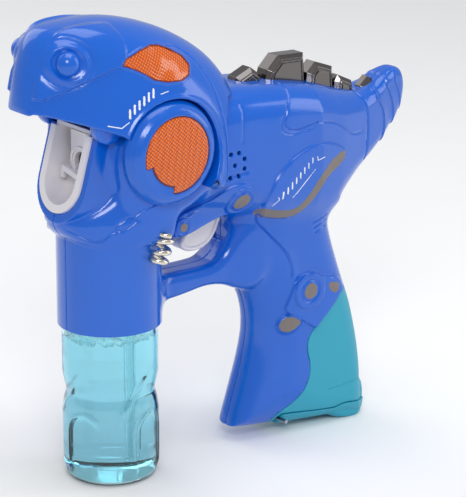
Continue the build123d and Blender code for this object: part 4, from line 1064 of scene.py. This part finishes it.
def make_bottle():
    around = 144
    heights = np.concatenate([[0.0, 0.5], np.arange(1.2, 100.3, 0.9)])
    outer = capped(*turned_skin(heights, 0.0), 0, around, -1, 1.6)
    inner_heights = np.concatenate([[2.4], np.arange(3.0, 100.3, 0.9)])
    inner = capped(*turned_skin(inner_heights, 1.2), 0, around, -1, 3.4)
    count = len(outer[0])
    points = np.vstack([outer[0], inner[0]])
    normals = np.vstack([outer[2], -inner[2]])
    faces = outer[1] + [[index + count for index in face] for face in inner[1]]
    top, inner_top = (len(heights) - 1) * around, count + (len(inner_heights) - 1) * around
    for col in range(around):
        nxt = (col + 1) % around
        faces.append([top + col, top + nxt, inner_top + nxt, inner_top + col])
    bottle = shell_mesh("bottle_shell", points, faces, normals)
    finish(bottle, BOTTLE_PLASTIC, "bottle_plastic", "bottle_body", "bottle")

    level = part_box("bubble_solution")[1][2] / MM
    wet = np.concatenate([[2.5], np.arange(3.2, level, 0.9), [level]])
    liquid = capped(*turned_skin(wet, 1.15), 0, around, -1, 3.5)
    liquid = capped(*liquid, len(wet) - 1, around, 1)
    body = shell_mesh("liquid_body", *liquid)
    finish(body, LIQUID, "solution", "bottle_body", "bubble_solution")
    make_foam(level)


def make_foam(level):
    """Ring of small bubbles on the liquid against the bottle's wall."""
    rng = np.random.default_rng(7)
    cells = rng.uniform([-21.5, -21.5, level - 1.2], [21.5, 21.5, level + 4.2], (900, 3))
    cells = cells[(np.hypot(cells[:, 0], cells[:, 1]) < 21.4) & (np.hypot(cells[:, 0], cells[:, 1]) > 15)]
    sizes = rng.uniform(0.7, 1.5, len(cells))

    def field(x, y, z):
        nearest = np.full(np.broadcast(x, y, z).shape, 9.0, np.float32)
        for (cx, cy, cz), size in zip(cells, sizes):
            reach = size + 1.2
            ix = np.nonzero(np.abs(x[:, 0, 0] - cx) < reach)[0]
            iy = np.nonzero(np.abs(y[0, :, 0] - cy) < reach)[0]
            iz = np.nonzero(np.abs(z[0, 0, :] - cz) < reach)[0]
            if len(ix) and len(iy) and len(iz):
                box = np.ix_(ix, iy, iz)
                away = np.sqrt((x[ix] - cx) ** 2 + (y[:, iy] - cy) ** 2 + (z[:, :, iz] - cz) ** 2) - size
                nearest[box] = np.minimum(nearest[box], away)
        return np.maximum(nearest, np.hypot(x, y) - 22.1)

    foam = solid("foam_ring", field, (-23, -23, level - 2), (23, 23, level + 5.6), STEP, detail=0.0)
    # the froth's material carries a painted glow
    finish(foam, FOAM_WITH_PAINTED_GLOW, "solution", "bottle_body")


# ---------------------------------------------------------------- stage
def area_light(name, place, target, size, power, height=None):
    light = bpy.data.lights.new(name, "AREA")
    light.shape = "RECTANGLE"
    light.size = size
    light.size_y = height or size
    light.energy = power
    lamp = bpy.data.objects.new(name, light)
    lamp.location = place
    lamp.rotation_euler = (Vector(target) - Vector(place)).to_track_quat("-Z", "Y").to_euler()
    bpy.context.scene.collection.objects.link(lamp)


def make_stage():
    world = bpy.data.worlds.new("studio")
    world.use_nodes = True
    world.node_tree.nodes["Background"].inputs["Color"].default_value = (0.95, 0.97, 1.0, 1)
    world.node_tree.nodes["Background"].inputs["Strength"].default_value = 0.5
    bpy.context.scene.world = world
    bpy.context.scene.view_settings.view_transform = "Standard"
    bpy.ops.mesh.primitive_plane_add(size=12, location=(0, 0, 0))
    floor = bpy.context.object
    floor.name = "studio_floor"
    floor.data.materials.append(plastic("floor_paper", (250, 250, 250), 0.9, spread=0.004, relief=0.0))
    middle = (0.0, 0.0, 0.12)
    area_light("key_softbox", (-0.75, -1.0, 1.0), middle, 0.5, 7, 0.45)
    area_light("top_softbox", (0.1, -0.1, 1.3), middle, 0.9, 6)
    area_light("side_softbox", (1.0, -0.6, 0.5), middle, 0.4, 2.5, 0.9)
    area_light("back_softbox", (-0.2, 1.1, 0.8), middle, 0.9, 3)


def make_camera():
    """Long lens from the front left, a little above."""
    camera = bpy.data.cameras.new("view_camera")
    camera.lens = 219.08
    camera.sensor_width = 36.0
    camera.sensor_fit = "AUTO"
    eye = bpy.data.objects.new("view_camera", camera)
    eye.location = (-0.87008, -1.12731, 0.55096)
    target = Vector((0.01067, 0.0, 0.0999))
    eye.rotation_euler = (target - eye.location).to_track_quat("-Z", "Y").to_euler()
    bpy.context.scene.collection.objects.link(eye)
    bpy.context.scene.camera = eye


dress_nodes()
make_casing()
make_teal()
make_head()
make_lamps()
make_plates()
make_paint()
make_springs()
make_trigger()
make_bottle()
make_stage()
make_camera()
